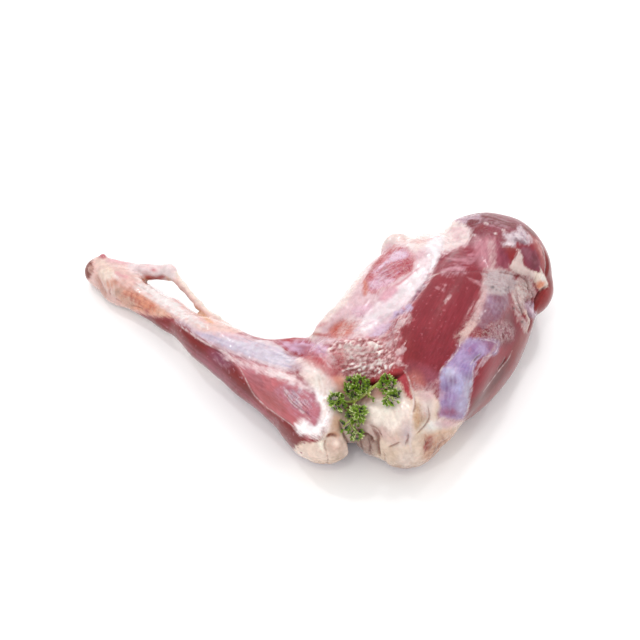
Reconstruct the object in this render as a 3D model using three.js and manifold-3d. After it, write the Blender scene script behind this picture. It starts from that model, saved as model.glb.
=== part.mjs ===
// Raw leg of lamb, lying on its side: the thigh with its muscles, the knee, the shank, the heel bone
// and the heel tendon that bridges back to the calf. A sprig of curly parsley lies over the knee.
// Millimetres, +Z up. The leg rests on z = 0, the shank points to -X and the hip is far right.

import * as THREE from "three";
import { mergeVertices } from "three/addons/utils/BufferGeometryUtils.js";
import Module from "manifold-3d";

const wasm = await Module(); // the solid-modelling library, which joins and cuts closed meshes
wasm.setup();

// ---------- driving dimensions ----------

const CENTRE_X = -4.7; // middle of the laid-out leg, which becomes the origin
const CENTRE_Y = -22.3;
const SKIN_STEP = 6.5; // grid spacing of the leg's skin
const MUSCLE_BLEND = 7; // how softly one muscle runs into the next
const BONE_BLEND = 9; // how softly the shank's pieces run together
const HEEL_BLEND = 4; // how softly the heel bone runs into the hock
const REST_GAP = 1.1; // air between the sprig and the meat
const LEAF_THICKNESS = 0.9;
const STALK_RADIUS = 1.3; // of the thickest stalk

// ---------- the leg's muscles and bones ----------

// Every belly is an ellipsoid: its middle, half its length, width and depth, the heading of its
// length in the plan in degrees from +X, how far its head rises, and its roll about its length.
const THIGH = [
  { name: "core", at: [103, -23, 40], half: [111, 55, 47], heading: 65 },
  { name: "topside", at: [97, -27, 58], half: [90, 36, 37], heading: 61 },
  { name: "silverside", at: [68, 12, 48], half: [79, 40, 38], heading: 51 },
  { name: "groin_fold", at: [21, -14, 46], half: [41, 13, 26], heading: 46 },
  { name: "fat_fin", at: [64, 59, 61], half: [13, 9, 13], heading: 31 },
  { name: "thick_flank", at: [128, -40, 55], half: [84, 24, 34], heading: 71 },
  { name: "outer_flank", at: [136, -31, 40], half: [83, 31, 34], heading: 63 },
  { name: "under_round", at: [115, -23, 25], half: [93, 32, 29], heading: 65 },
  { name: "under_flank", at: [74, 4, 25], half: [84, 28, 29], heading: 57 },
  { name: "rump", at: [152, 42, 46], half: [53, 44, 43], heading: 47 },
  { name: "rump_cap", at: [146, 65, 53], half: [42, 31, 30], heading: -16 },
  { name: "hip_flap", at: [186, 22, 42], half: [18, 10, 14], heading: 65 },
];
const KNEE = [
  { name: "calf", at: [28, -60, 46], half: [52, 34, 34], heading: 30 },
  { name: "calf_ridge", at: [-20, -41, 38], half: [43, 13, 17], heading: 1 },
  { name: "shin_head", at: [-2, -108, 32], half: [33, 26, 30], heading: -47 },
  { name: "knee_pad", at: [46, -105, 33], half: [21, 27, 28], heading: 0 },
  { name: "thigh_bone_end", at: [72, -112, 34], half: [32, 27, 34], heading: 52 },
  { name: "kneecap", at: [90, -109, 44], half: [25, 20, 20], heading: 60 },
];

// The hip end is cut off flat where the leg left the loin: a point of the cut and the way it faces.
const HIP_CUT = { at: [197, 55, 45], facing: [0.9, 0.44, 0.06], softness: 16 };

// The shank is a chain of joints, each with the radius of the flesh round it.
const SHANK = [
  { at: [-194.5, 74, 13], radius: 12.5 },
  { at: [-172.5, 55, 15], radius: 15 },
  { at: [-127, 17.5, 20], radius: 12 },
  { at: [-93, -15, 26], radius: 16 },
  { at: [-50.5, -51, 33], radius: 21 },
  { at: [-11, -88.5, 37], radius: 30.5 },
];
const SHIN_MUSCLE = { at: [-58, -57, 30], half: [85, 16, 18], heading: -44 };
const SHEATH = { at: [-63, -35, 36], half: [62, 12, 16], heading: -32 };
const HEEL_BONE = [
  { at: [-192, 77, 18], radius: 7.5 },
  { at: [-150.5, 66, 22], radius: 5 },
  { at: [-132, 62.5, 25], radius: 7.5 },
];
const HEEL_TENDON = [
  { at: [-131, 64, 25], radius: 4.6 },
  { at: [-118, 44.5, 27], radius: 3.2 },
  { at: [-103, 21.5, 29], radius: 3.1 },
  { at: [-88, 3, 31], radius: 4 },
  { at: [-66, -18, 33], radius: 4 },
];

// ---------- the sprig of parsley ----------

// A leaf is a ruffled disc of so many lobes. Its stalk and its middle are given where they lie.
const LEAF = { lobes: 5, lobeDepth: 0.24, ruffle: 0.3, cup: 0.12, rings: 3, segments: 20, turn: 2.4 };
const LEAF_TILT = new THREE.Vector3(0, -0.3, 0.6); // leans every leaf up and towards the knee
const LEAVES = [
  { name: "end_leaf", at: [12.4, -106.4, 60.5], radius: 9.5 },
  { name: "top_leaf", at: [29, -94.2, 65], radius: 11 },
  { name: "right_leaf", at: [52.2, -98.5, 74.5], radius: 9 },
  { name: "right_low_leaf", at: [57, -109.5, 70.5], radius: 8.6 },
  { name: "small_leaf", at: [40.2, -104.8, 64], radius: 5.6 },
  { name: "middle_leaf", at: [28.4, -115.5, 58.5], radius: 9 },
  { name: "low_leaf", at: [27.5, -126.5, 49], radius: 8 },
  { name: "low_side_leaf", at: [18, -125.1, 54.5], radius: 6 },
];
const STALKS = [
  [
    { at: [12.4, -106.4, 60.5], radius: 0.8 },
    { at: [19.5, -103, 57], radius: 1 },
    { at: [27.2, -102.3, 58], radius: 1.3 },
    { at: [34.4, -99.5, 61.5], radius: 1.3 },
    { at: [41.7, -95, 65.5], radius: 1.3 },
    { at: [48.7, -94.6, 72], radius: 1.1 },
    { at: [52.2, -98.5, 74.5], radius: 0.9 },
    { at: [57, -109.5, 70.5], radius: 0.7 },
  ],
  [
    { at: [36, -98.8, 62.3], radius: 1 },
    { at: [32.5, -96.5, 64], radius: 0.9 },
    { at: [29, -94.2, 65], radius: 0.7 },
  ],
  [
    { at: [37, -98, 63], radius: 0.9 },
    { at: [39, -101.5, 64], radius: 0.8 },
    { at: [40.2, -104.8, 64], radius: 0.6 },
  ],
  [
    { at: [27.2, -102.3, 58], radius: 1.1 },
    { at: [26.8, -108, 58.3], radius: 1 },
    { at: [28.4, -115.5, 58.5], radius: 0.9 },
    { at: [24.4, -120, 55.5], radius: 0.9 },
    { at: [27.5, -126.5, 49], radius: 0.7 },
  ],
  [
    { at: [24.4, -119.5, 56], radius: 0.8 },
    { at: [21, -122.3, 55.5], radius: 0.7 },
    { at: [18, -125.1, 54.5], radius: 0.6 },
  ],
];

// ---------- distances to the muscles ----------

const blended = (a, b, reach) => {
  const h = Math.max(reach - Math.abs(a - b), 0) / reach;
  return Math.min(a, b) - (h * h * reach) / 4;
};

function bellyDistance({ at, half, heading, rise = 0, roll = 0 }) {
  const turn = new THREE.Matrix4().makeRotationFromEuler(
    new THREE.Euler(
      THREE.MathUtils.degToRad(roll),
      THREE.MathUtils.degToRad(-rise),
      THREE.MathUtils.degToRad(heading),
      "ZYX",
    ),
  );
  const back = turn.clone().invert();
  const middle = new THREE.Vector3(...at);
  const q = new THREE.Vector3();
  return (p) => {
    q.copy(p).sub(middle).applyMatrix4(back);
    const x = q.x / half[0];
    const y = q.y / half[1];
    const z = q.z / half[2];
    const near = Math.hypot(x, y, z);
    const slope = Math.hypot(x / half[0], y / half[1], z / half[2]);
    return slope < 1e-9 ? -Math.min(...half) : (near * (near - 1)) / slope;
  };
}

// A chain of tapered links between neighbouring joints.
function chainDistance(joints, reach) {
  const links = joints.slice(1).map((end, i) => {
    const start = joints[i];
    const a = new THREE.Vector3(...start.at);
    const along = new THREE.Vector3(...end.at).sub(a);
    return { a, along, length2: along.lengthSq(), r0: start.radius, r1: end.radius };
  });
  const q = new THREE.Vector3();
  return (p) => {
    let distance = Infinity;
    for (const { a, along, length2, r0, r1 } of links) {
      q.copy(p).sub(a);
      const t = THREE.MathUtils.clamp(q.dot(along) / length2, 0, 1);
      const one = q.addScaledVector(along, -t).length() - (r0 + (r1 - r0) * t);
      distance = distance === Infinity ? one : blended(distance, one, reach);
    }
    return distance;
  };
}

const thighBellies = THIGH.map(bellyDistance);
const kneeBellies = KNEE.map(bellyDistance);
const shank = chainDistance(SHANK, BONE_BLEND);
const shinMuscle = bellyDistance(SHIN_MUSCLE);
const sheath = bellyDistance(SHEATH);
const heelBone = chainDistance(HEEL_BONE, BONE_BLEND);

const hipCut = {
  at: new THREE.Vector3(...HIP_CUT.at),
  facing: new THREE.Vector3(...HIP_CUT.facing).normalize(),
};

function legDistance(p) {
  let leg = Infinity;
  for (const belly of [...thighBellies, ...kneeBellies, shinMuscle, sheath]) {
    const one = belly(p);
    leg = leg === Infinity ? one : blended(leg, one, MUSCLE_BLEND);
  }
  const beyondCut = p.clone().sub(hipCut.at).dot(hipCut.facing);
  leg = -blended(-leg, -beyondCut, HIP_CUT.softness);
  leg = blended(leg, shank(p), BONE_BLEND);
  return blended(leg, heelBone(p), HEEL_BLEND);
}

// ---------- skin over a distance field ----------

const AXES = [0, 1, 2];
const CORNERS = [0, 1, 2, 3, 4, 5, 6, 7].map((c) => [c & 1, (c >> 1) & 1, c >> 2]);
const EDGES = AXES.flatMap((axis) =>
  CORNERS.flatMap((corner, c) => (corner[axis] ? [] : [[c, c + (1 << axis)]])),
);
const SIDES = AXES.flatMap((axis) => {
  const [u, w] = AXES.filter((other) => other !== axis).map((other) => 1 << other);
  return [0, 1 << axis].map((c) => [c, c + u, c + u + w, c + w]);
});
const edgeBetween = (a, b) => EDGES.findIndex(([c, d]) => (a === c && b === d) || (a === d && b === c));

// For each crossed edge of a cell, the first edge of the patch of surface that it belongs to.
function patchesIn(inside) {
  const patch = EDGES.map((_, e) => e);
  for (const side of SIDES)
    for (let c = 0; c < 4; c++) {
      if (inside[side[c]] || !inside[side[(c + 1) % 4]]) continue;
      let last = c + 1;
      while (inside[side[(last + 1) % 4]]) last++;
      const enters = patch[edgeBetween(side[c], side[(c + 1) % 4])];
      const leaves = patch[edgeBetween(side[last % 4], side[(last + 1) % 4])];
      patch.forEach((p, e) => (patch[e] = p === leaves ? enters : p));
    }
  return patch;
}

// A vertex for each patch of surface in each grid cell, pulled onto the surface and joined into quads.
function skinOf(distance, low, high, step) {
  const count = low.map((from, k) => Math.ceil((high[k] - from) / step) + 1);
  const at = (i, j, k) => (k * count[1] + j) * count[0] + i;
  const corner = (i, j, k) =>
    new THREE.Vector3(low[0] + i * step, low[1] + j * step, low[2] + k * step);
  const value = new Float32Array(count[0] * count[1] * count[2]);
  for (let k = 0; k < count[2]; k++)
    for (let j = 0; j < count[1]; j++)
      for (let i = 0; i < count[0]; i++) value[at(i, j, k)] = distance(corner(i, j, k));

  const vertexOf = new Map();
  const vertices = [];
  for (let k = 0; k < count[2] - 1; k++)
    for (let j = 0; j < count[1] - 1; j++)
      for (let i = 0; i < count[0] - 1; i++) {
        const v = CORNERS.map(([x, y, z]) => value[at(i + x, j + y, k + z)]);
        const inside = v.map((one) => one < 0);
        if (inside.every((one) => one === inside[0])) continue;
        const patch = patchesIn(inside);
        const crossed = EDGES.map((_, e) => e).filter((e) => inside[EDGES[e][0]] !== inside[EDGES[e][1]]);
        for (const first of new Set(crossed.map((e) => patch[e]))) {
          const members = crossed.filter((e) => patch[e] === first);
          const mean = new THREE.Vector3();
          for (const [a, b] of members.map((e) => EDGES[e])) {
            const from = new THREE.Vector3(...CORNERS[a]);
            mean.add(from.lerp(new THREE.Vector3(...CORNERS[b]), v[a] / (v[a] - v[b])));
          }
          mean.multiplyScalar(step / members.length).add(corner(i, j, k));
          members.forEach((e) => vertexOf.set(at(i, j, k) * EDGES.length + e, vertices.length));
          vertices.push(pulledOnto(distance, mean, step));
        }
      }

  const faces = [];
  for (let k = 1; k < count[2] - 1; k++)
    for (let j = 1; j < count[1] - 1; j++)
      for (let i = 1; i < count[0] - 1; i++)
        for (const axis of AXES) {
          const far = [i, j, k];
          far[axis] += 1;
          const inside = value[at(i, j, k)] < 0;
          if (inside === value[at(...far)] < 0) continue;
          const [u, w] = AXES.filter((other) => other !== axis);
          const round = [[1, 1], [0, 1], [0, 0], [1, 0]].map(([du, dw]) => {
            const cell = [i, j, k];
            cell[u] -= du;
            cell[w] -= dw;
            const near = (du << u) + (dw << w);
            return vertexOf.get(at(...cell) * EDGES.length + edgeBetween(near, near + (1 << axis)));
          });
          if (inside !== (axis !== 1)) round.reverse();
          faces.push(...splitQuad(vertices, round));
        }
  return { vertices, faces };
}

// A quad is split along its shorter diagonal.
function splitQuad(vertices, [a, b, c, d]) {
  const short = vertices[a].distanceTo(vertices[c]) <= vertices[b].distanceTo(vertices[d]);
  return short ? [a, b, c, a, c, d] : [a, b, d, b, c, d];
}

function slopeOf(distance, p, probe = 0.2) {
  const slope = new THREE.Vector3();
  const side = new THREE.Vector3();
  ["x", "y", "z"].forEach((axis) => {
    side.copy(p)[axis] += probe;
    const more = distance(side);
    side.copy(p)[axis] -= probe;
    slope[axis] = (more - distance(side)) / (2 * probe);
  });
  return slope;
}

function pulledOnto(distance, point, step) {
  const p = point.clone();
  for (let turn = 0; turn < 4; turn++) {
    const slope = slopeOf(distance, p);
    const move = -distance(p) / Math.max(slope.lengthSq(), 0.1);
    p.addScaledVector(slope, THREE.MathUtils.clamp(move, -0.2 * step, 0.2 * step));
  }
  return p;
}

// A point moved straight out of the meat until it has at least this much air.
function keptClear(point, air) {
  const p = point.clone();
  for (let turn = 0; turn < 6; turn++) {
    const short = air - legDistance(p);
    if (short > 0) p.addScaledVector(slopeOf(legDistance, p).normalize(), short);
  }
  return p;
}

// ---------- meshes and solids ----------

function meshGeometry(vertices, faces) {
  const geometry = new THREE.BufferGeometry().setFromPoints(vertices);
  geometry.setIndex(faces);
  return geometry;
}

function solidFrom(geometry) {
  const bare = geometry.index ? geometry.toNonIndexed() : geometry.clone();
  bare.deleteAttribute("normal");
  bare.deleteAttribute("uv");
  const merged = mergeVertices(bare, 1e-3);
  return new wasm.Manifold(
    new wasm.Mesh({
      numProp: 3,
      vertProperties: merged.attributes.position.array,
      triVerts: new Uint32Array(merged.index.array),
    }),
  );
}

function geometryFrom(solid) {
  const { vertProperties, triVerts } = solid.getMesh();
  const geometry = new THREE.BufferGeometry();
  geometry.setAttribute("position", new THREE.BufferAttribute(vertProperties, 3));
  geometry.setIndex(new THREE.BufferAttribute(triVerts, 1));
  geometry.computeVertexNormals();
  return geometry;
}

// A round, tapering cord through joints, closed by a point at each end.
function cordGeometry(joints, sides, stepsPerLink, placed = (point) => point) {
  const steps = stepsPerLink * (joints.length - 1);
  const route = new THREE.CatmullRomCurve3(joints.map(({ at }) => new THREE.Vector3(...at)));
  const curve = new THREE.CatmullRomCurve3(route.getPoints(steps).map(placed));
  const { normals, binormals } = curve.computeFrenetFrames(steps);
  const vertices = [curve.getPoint(0)];
  for (let s = 0; s <= steps; s++) {
    const link = Math.min(Math.floor(s / stepsPerLink), joints.length - 2);
    const share = s / stepsPerLink - link;
    const radius = THREE.MathUtils.lerp(joints[link].radius, joints[link + 1].radius, share);
    for (let side = 0; side < sides; side++) {
      const angle = (2 * Math.PI * side) / sides;
      vertices.push(
        curve
          .getPoint(s / steps)
          .addScaledVector(normals[s], radius * Math.cos(angle))
          .addScaledVector(binormals[s], radius * Math.sin(angle)),
      );
    }
  }
  vertices.push(curve.getPoint(1));
  const faces = [];
  const ring = (s, side) => 1 + s * sides + (side % sides);
  for (let side = 0; side < sides; side++) {
    faces.push(0, ring(0, side + 1), ring(0, side));
    for (let s = 0; s < steps; s++) {
      faces.push(ring(s, side), ring(s, side + 1), ring(s + 1, side));
      faces.push(ring(s, side + 1), ring(s + 1, side + 1), ring(s + 1, side));
    }
    faces.push(vertices.length - 1, ring(steps, side), ring(steps, side + 1));
  }
  return meshGeometry(vertices, faces);
}

// A ruffled, lobed leaf of even thickness, lying on the meat at its middle.
function leafGeometry({ at, radius }, turn) {
  const air = REST_GAP + LEAF_THICKNESS / 2;
  const middle = keptClear(new THREE.Vector3(...at), air);
  const up = slopeOf(legDistance, middle, 3).normalize().add(LEAF_TILT).normalize();
  const across = new THREE.Vector3(Math.cos(turn), Math.sin(turn), 0).cross(up).normalize();
  const along = up.clone().cross(across);
  const { rings, segments, lobes, lobeDepth, ruffle, cup } = LEAF;
  const sheet = [middle];
  for (let ring = 1; ring <= rings; ring++)
    for (let segment = 0; segment < segments; segment++) {
      const angle = (2 * Math.PI * segment) / segments;
      const share = ring / rings;
      const reach = radius * share * (1 - lobeDepth * (0.5 - 0.5 * Math.cos(lobes * angle)));
      const lift = radius * share ** 2 * (cup + ruffle * Math.sin(lobes * angle + turn));
      const point = middle
        .clone()
        .addScaledVector(across, reach * Math.cos(angle))
        .addScaledVector(along, reach * Math.sin(angle))
        .addScaledVector(up, lift);
      sheet.push(keptClear(point, air));
    }
  const side = (sign) => sheet.map((p) => p.clone().addScaledVector(up, (sign * LEAF_THICKNESS) / 2));
  const index = (ring, segment) => (ring ? 1 + (ring - 1) * segments + (segment % segments) : 0);
  const low = sheet.length;
  const faces = [];
  for (let segment = 0; segment < segments; segment++) {
    const triangles = [[index(0, 0), index(1, segment), index(1, segment + 1)]];
    for (let ring = 1; ring < rings; ring++) {
      const [a, b] = [index(ring, segment), index(ring, segment + 1)];
      const [c, d] = [index(ring + 1, segment), index(ring + 1, segment + 1)];
      triangles.push([a, c, d], [a, d, b]);
    }
    for (const [a, b, c] of triangles) faces.push(a, b, c, low + a, low + c, low + b);
    const [rim, next] = [index(rings, segment), index(rings, segment + 1)];
    faces.push(rim, low + rim, low + next, rim, low + next, next);
  }
  return meshGeometry([...side(1), ...side(-1)], faces);
}

// ---------- leg ----------

const { vertices, faces } = skinOf(legDistance, [-220, -160, -16], [220, 125, 115], SKIN_STEP);
const table = new THREE.BoxGeometry(600, 600, 60).translate(0, 0, -30);
const legSolid = solidFrom(meshGeometry(vertices, faces))
  .add(solidFrom(cordGeometry(HEEL_TENDON, 10, 4)))
  .subtract(solidFrom(table));

const leg = new THREE.Mesh(
  geometryFrom(legSolid),
  new THREE.MeshStandardMaterial({ color: 0xa44a54, roughness: 0.35, metalness: 0 }),
);
leg.name = "leg";

// ---------- parsley ----------

const stalks = STALKS.map((joints) =>
  solidFrom(cordGeometry(joints, 6, 3, (point) => keptClear(point, REST_GAP + STALK_RADIUS))),
);
const leaves = LEAVES.map((leaf, i) => solidFrom(leafGeometry(leaf, i * LEAF.turn)));
const sprig = [...stalks, ...leaves].reduce((whole, piece) => whole.add(piece));

const parsley = new THREE.Mesh(
  geometryFrom(sprig),
  new THREE.MeshStandardMaterial({ color: 0x4f8a2c, roughness: 0.5, metalness: 0 }),
);
parsley.name = "parsley";

const lamb = new THREE.Group();
lamb.add(leg, parsley);
lamb.position.set(-CENTRE_X, -CENTRE_Y, 0);
export default lamb;
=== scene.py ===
import math

import bmesh
import bpy
import numpy as np
from mathutils import Matrix, Vector, noise
from mathutils.bvhtree import BVHTree


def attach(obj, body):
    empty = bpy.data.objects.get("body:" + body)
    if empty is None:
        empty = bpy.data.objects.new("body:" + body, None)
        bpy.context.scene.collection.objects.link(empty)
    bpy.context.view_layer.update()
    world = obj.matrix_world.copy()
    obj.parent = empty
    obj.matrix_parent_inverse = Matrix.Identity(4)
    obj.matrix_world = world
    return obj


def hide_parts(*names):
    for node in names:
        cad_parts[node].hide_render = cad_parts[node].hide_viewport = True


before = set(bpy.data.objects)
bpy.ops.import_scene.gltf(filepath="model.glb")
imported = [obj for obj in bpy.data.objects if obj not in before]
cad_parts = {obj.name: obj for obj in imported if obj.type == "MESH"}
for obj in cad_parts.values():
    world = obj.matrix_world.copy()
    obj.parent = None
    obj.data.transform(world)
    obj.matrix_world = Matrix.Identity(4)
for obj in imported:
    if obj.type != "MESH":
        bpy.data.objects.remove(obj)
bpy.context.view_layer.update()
scene = bpy.context.scene

# ---------- table, light and camera ----------
# A plain white table top under soft studio light: two wide softboxes, one behind and one in front,
# and four small lamps, some of which the wet meat mirrors as glints. The camera stands on the knee's
# side and looks down on the leg.

VIEW_RISE = math.radians(50)  # the camera's height above the horizon
VIEW_DISTANCE = 1.35
VIEW_TARGET = Vector((0.0047, 0.0223, 0.035))
TO_CAMERA = (0, -math.cos(VIEW_RISE), math.sin(VIEW_RISE))
LENS = 90.4
TABLE_SIZE = 8.0
TABLE_WHITE = (0.94, 0.94, 0.94, 1)
SKY_WHITE = (1, 1, 1, 1)
SKY_STRENGTH = 0.95
SOFTBOXES = [  # name, place, width, depth, watts, whether the wet meat mirrors it
    ("back_softbox", (-0.3, 1.3, 1.25), 1.3, 0.7, 6, False),
    ("front_softbox", (-0.5, -1.2, 1.4), 1.0, 1.0, 6, False),
    ("window", (0.5, 0.9, 1.4), 0.2, 0.2, 5, True),
    ("left_lamp", (-0.7, 0.5, 1.3), 0.12, 0.12, 3, True),
    ("front_lamp", (-0.2, -0.6, 1.4), 0.08, 0.08, 1.6, True),
    ("right_lamp", (1.0, 0.9, 0.9), 0.1, 0.1, 3, False),
]


def wire(tree, socket, value):
    """Links value to the socket if it is a node's output, and otherwise sets it there."""
    if isinstance(value, bpy.types.NodeSocket):
        tree.links.new(value, socket)
    else:
        socket.default_value = value


def add(tree, kind, inputs=None, out=0, **settings):
    """A new node with these settings and inputs. Returns one of its outputs."""
    made = tree.nodes.new(kind)
    for name, value in settings.items():
        setattr(made, name, value)
    for key, value in (inputs or {}).items():
        wire(tree, made.inputs[key], value)
    return made.outputs[out]


def new_material(name):
    """A material with an empty tree, its tree, and its surface socket."""
    material = bpy.data.materials.new(name)
    material.use_nodes = True
    material.node_tree.nodes.clear()
    surface = material.node_tree.nodes.new("ShaderNodeOutputMaterial").inputs["Surface"]
    return material, material.node_tree, surface


def lay_table():
    bpy.ops.mesh.primitive_plane_add(size=TABLE_SIZE)
    table = bpy.context.object
    table.name = "table_top"
    material, tree, surface = new_material("white_table")
    wire(tree, surface, add(tree, "ShaderNodeBsdfDiffuse", {"Color": TABLE_WHITE}))
    table.data.materials.append(material)


def hang_softbox(name, place, width, depth, watts, mirrored):
    light = bpy.data.lights.new(name, "AREA")
    light.shape = "RECTANGLE"
    light.size, light.size_y = width, depth
    light.energy = watts
    holder = bpy.data.objects.new(name, light)
    holder.location = place
    holder.visible_glossy = mirrored
    holder.rotation_euler = (-Vector(place)).to_track_quat("-Z", "Y").to_euler()
    scene.collection.objects.link(holder)


def stand_camera():
    camera = bpy.data.objects.new("camera", bpy.data.cameras.new("camera"))
    camera.data.lens = LENS
    camera.location = VIEW_TARGET + Vector(TO_CAMERA) * VIEW_DISTANCE
    camera.rotation_euler = (math.pi / 2 - VIEW_RISE, 0, 0)
    scene.collection.objects.link(camera)
    scene.camera = camera


lay_table()
for softbox in SOFTBOXES:
    hang_softbox(*softbox)
stand_camera()
scene.world = bpy.data.worlds.new("studio")
scene.world.use_nodes = True
sky = scene.world.node_tree.nodes["Background"].inputs
sky["Color"].default_value = SKY_WHITE
sky["Strength"].default_value = SKY_STRENGTH
scene.view_settings.view_transform = "Standard"

# ---------- the leg's form ----------
# Muscles, bones and the heel tendon of a lamb's hind leg, in millimetres. Each belly is an ellipsoid
# that runs softly into its neighbours, the shank and the heel bone are tapered chains, the hip end is
# cut flat and the underside is pressed on the table.

LAID = np.array([4.7, 22.3, 0.0])  # from the leg as laid out to the frame's origin
MUSCLE_BLEND = 6.0
BONE_BLEND = 9.0
HEEL_BLEND = 4.0
TABLE_BLEND = 4.0
BELLIES = [  # name, middle, half its length, width and depth, and its heading in degrees
    ("core", (103, -23, 40), (111, 55, 47), 65),
    ("topside", (97, -27, 58), (90, 36, 37), 61),
    ("silverside", (68, 12, 48), (79, 40, 38), 51),
    ("groin_fold", (21, -14, 46), (41, 13, 26), 46),
    ("fat_fin", (64, 59, 61), (13, 9, 13), 31),
    ("thick_flank", (128, -40, 55), (84, 24, 34), 71),
    ("outer_flank", (136, -31, 40), (83, 31, 34), 63),
    ("under_round", (115, -23, 25), (93, 32, 29), 65),
    ("under_flank", (74, 4, 25), (84, 28, 29), 57),
    ("rump", (152, 42, 46), (53, 44, 43), 47),
    ("rump_cap", (146, 65, 53), (42, 31, 30), -16),
    ("hip_flap", (186, 22, 42), (18, 10, 14), 65),
    ("calf", (28, -60, 46), (52, 34, 34), 30),
    ("calf_ridge", (-20, -41, 38), (43, 13, 17), 1),
    ("shin_head", (-2, -108, 32), (33, 26, 30), -47),
    ("knee_pad", (46, -105, 33), (21, 27, 28), 0),
    ("thigh_bone_end", (72, -112, 34), (32, 27, 34), 52),
    ("kneecap", (90, -109, 44), (25, 20, 20), 60),
    ("shin_muscle", (-58, -57, 30), (85, 16, 18), -44),
    ("sheath", (-63, -35, 36), (62, 12, 16), -32),
]
HIP_CUT_AT = np.array([197.0, 55, 45])
HIP_CUT_FACING = np.array([0.9, 0.44, 0.06])
HIP_CUT_BLEND = 16.0
SHANK = [  # joint and radius of the flesh round it
    ((-194.5, 74, 13), 12.5),
    ((-172.5, 55, 15), 15),
    ((-127, 17.5, 20), 12),
    ((-93, -15, 26), 16),
    ((-50.5, -51, 33), 21),
    ((-11, -88.5, 37), 30.5),
]
HEEL_BONE = [((-192, 77, 18), 7.5), ((-150.5, 66, 22), 5), ((-132, 62.5, 25), 7.5)]
HEEL_TENDON = [
    ((-131, 64, 25), 4.6),
    ((-118, 44.5, 27), 3.2),
    ((-103, 21.5, 29), 3.1),
    ((-88, 3, 31), 4),
    ((-66, -18, 33), 4),
]
COARSE_STEP = 0.00213  # metres between the mesh's vertices where it turns away from the camera
FINE_FACING = 0.25  # faces turned to the camera at least this much are split once more
SAME_PLACE = 1e-5  # metres
SLOPE_PROBE = 0.3  # millimetres to either side at which the slope is felt
PULLS = 5  # times that the skin is pulled onto the muscles' surface
LONGEST_PULL = 1.2  # millimetres
LEAST_SLOPE = 0.1


def blended(a, b, reach):
    """The nearer of two surfaces, run softly into each other where they are this close."""
    h = np.maximum(reach - np.abs(a - b), 0) / reach
    return np.minimum(a, b) - h * h * reach / 4


def belly_place(points, middle, heading):
    """Points as seen from a belly's middle: along it, across it and up."""
    turn = math.radians(heading)
    x, y, z = (points - np.array(middle, float)).T
    return np.stack(
        [x * math.cos(turn) + y * math.sin(turn), y * math.cos(turn) - x * math.sin(turn), z], 1
    )


def belly_distance(points, middle, half, heading):
    q = belly_place(points, middle, heading) / np.array(half, float)
    near = np.linalg.norm(q, axis=1)
    slope = np.linalg.norm(q / np.array(half, float), axis=1)
    return near * (near - 1) / np.maximum(slope, 1e-9)


def chain_distance(points, joints, reach):
    whole = None
    for (start, r0), (end, r1) in zip(joints, joints[1:]):
        a = np.array(start, float)
        along = np.array(end, float) - a
        share = np.clip((points - a) @ along / (along @ along), 0, 1)
        off = points - a - share[:, None] * along
        one = np.linalg.norm(off, axis=1) - (r0 + (r1 - r0) * share)
        whole = one if whole is None else blended(whole, one, reach)
    return whole


def leg_distance(points):
    """Millimetres from the leg's surface, negative inside. Points are in the laid-out leg."""
    leg = None
    for name, middle, half, heading in BELLIES:
        one = belly_distance(points, middle, half, heading)
        leg = one if leg is None else blended(leg, one, MUSCLE_BLEND)
    facing = HIP_CUT_FACING / np.linalg.norm(HIP_CUT_FACING)
    leg = -blended(-leg, -(points - HIP_CUT_AT) @ facing, HIP_CUT_BLEND)
    leg = blended(leg, chain_distance(points, SHANK, BONE_BLEND), BONE_BLEND)
    leg = blended(leg, chain_distance(points, HEEL_BONE, BONE_BLEND), HEEL_BLEND)
    leg = blended(leg, chain_distance(points, HEEL_TENDON, HEEL_BLEND), HEEL_BLEND)
    return -blended(-leg, points[:, 2], TABLE_BLEND)


def outward(points):
    """The way out of the meat at each point, as long as the distance grows per millimetre."""
    steps = np.eye(3) * SLOPE_PROBE
    sides = [leg_distance(points + step) - leg_distance(points - step) for step in steps]
    return np.stack(sides, 1) / (2 * SLOPE_PROBE)


def leg_mesh():
    """An even skin over the CAD leg, finer where it faces the camera."""
    rough = bpy.data.objects.new("rough_leg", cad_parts["leg"].data.copy())
    scene.collection.objects.link(rough)
    shell = bmesh.new()
    shell.from_mesh(rough.data)
    bmesh.ops.remove_doubles(shell, verts=shell.verts, dist=SAME_PLACE)
    shell.to_mesh(rough.data)
    remesh = rough.modifiers.new("skin", "REMESH")
    remesh.mode = "VOXEL"
    remesh.voxel_size = COARSE_STEP
    even = bpy.data.meshes.new_from_object(rough.evaluated_get(bpy.context.evaluated_depsgraph_get()))
    bpy.data.objects.remove(rough)

    shell = bmesh.new()
    shell.from_mesh(even)
    shell.normal_update()
    fine = [face for face in shell.faces if face.normal.dot(Vector(TO_CAMERA)) > FINE_FACING]
    edges = {edge for face in fine for edge in face.edges}
    bmesh.ops.subdivide_edges(shell, edges=list(edges), cuts=1, use_grid_fill=True)
    shell.to_mesh(even)
    shell.free()
    return even


def points_of(mesh):
    """The mesh's vertices in millimetres."""
    flat = np.zeros(len(mesh.vertices) * 3)
    mesh.vertices.foreach_get("co", flat)
    return flat.reshape(-1, 3) * 1000


skin_mesh = leg_mesh()
points = points_of(skin_mesh) - LAID
for pull in range(PULLS):
    slope = outward(points)
    step = leg_distance(points) / np.maximum((slope**2).sum(1), LEAST_SLOPE)
    points -= slope * np.clip(step, -LONGEST_PULL, LONGEST_PULL)[:, None]
out = outward(points)
out /= np.linalg.norm(out, axis=1)[:, None]

# ---------- drawing on the leg ----------
# What the butcher's knife left on the leg is drawn in millimetres on a plane that faces the camera:
# u runs along the leg to the hip, v up across it. A drawn shape gives each vertex its reach, the
# distance inside the shape's edge, and by its reach it stains, covers, cuts or swells the meat.

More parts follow.
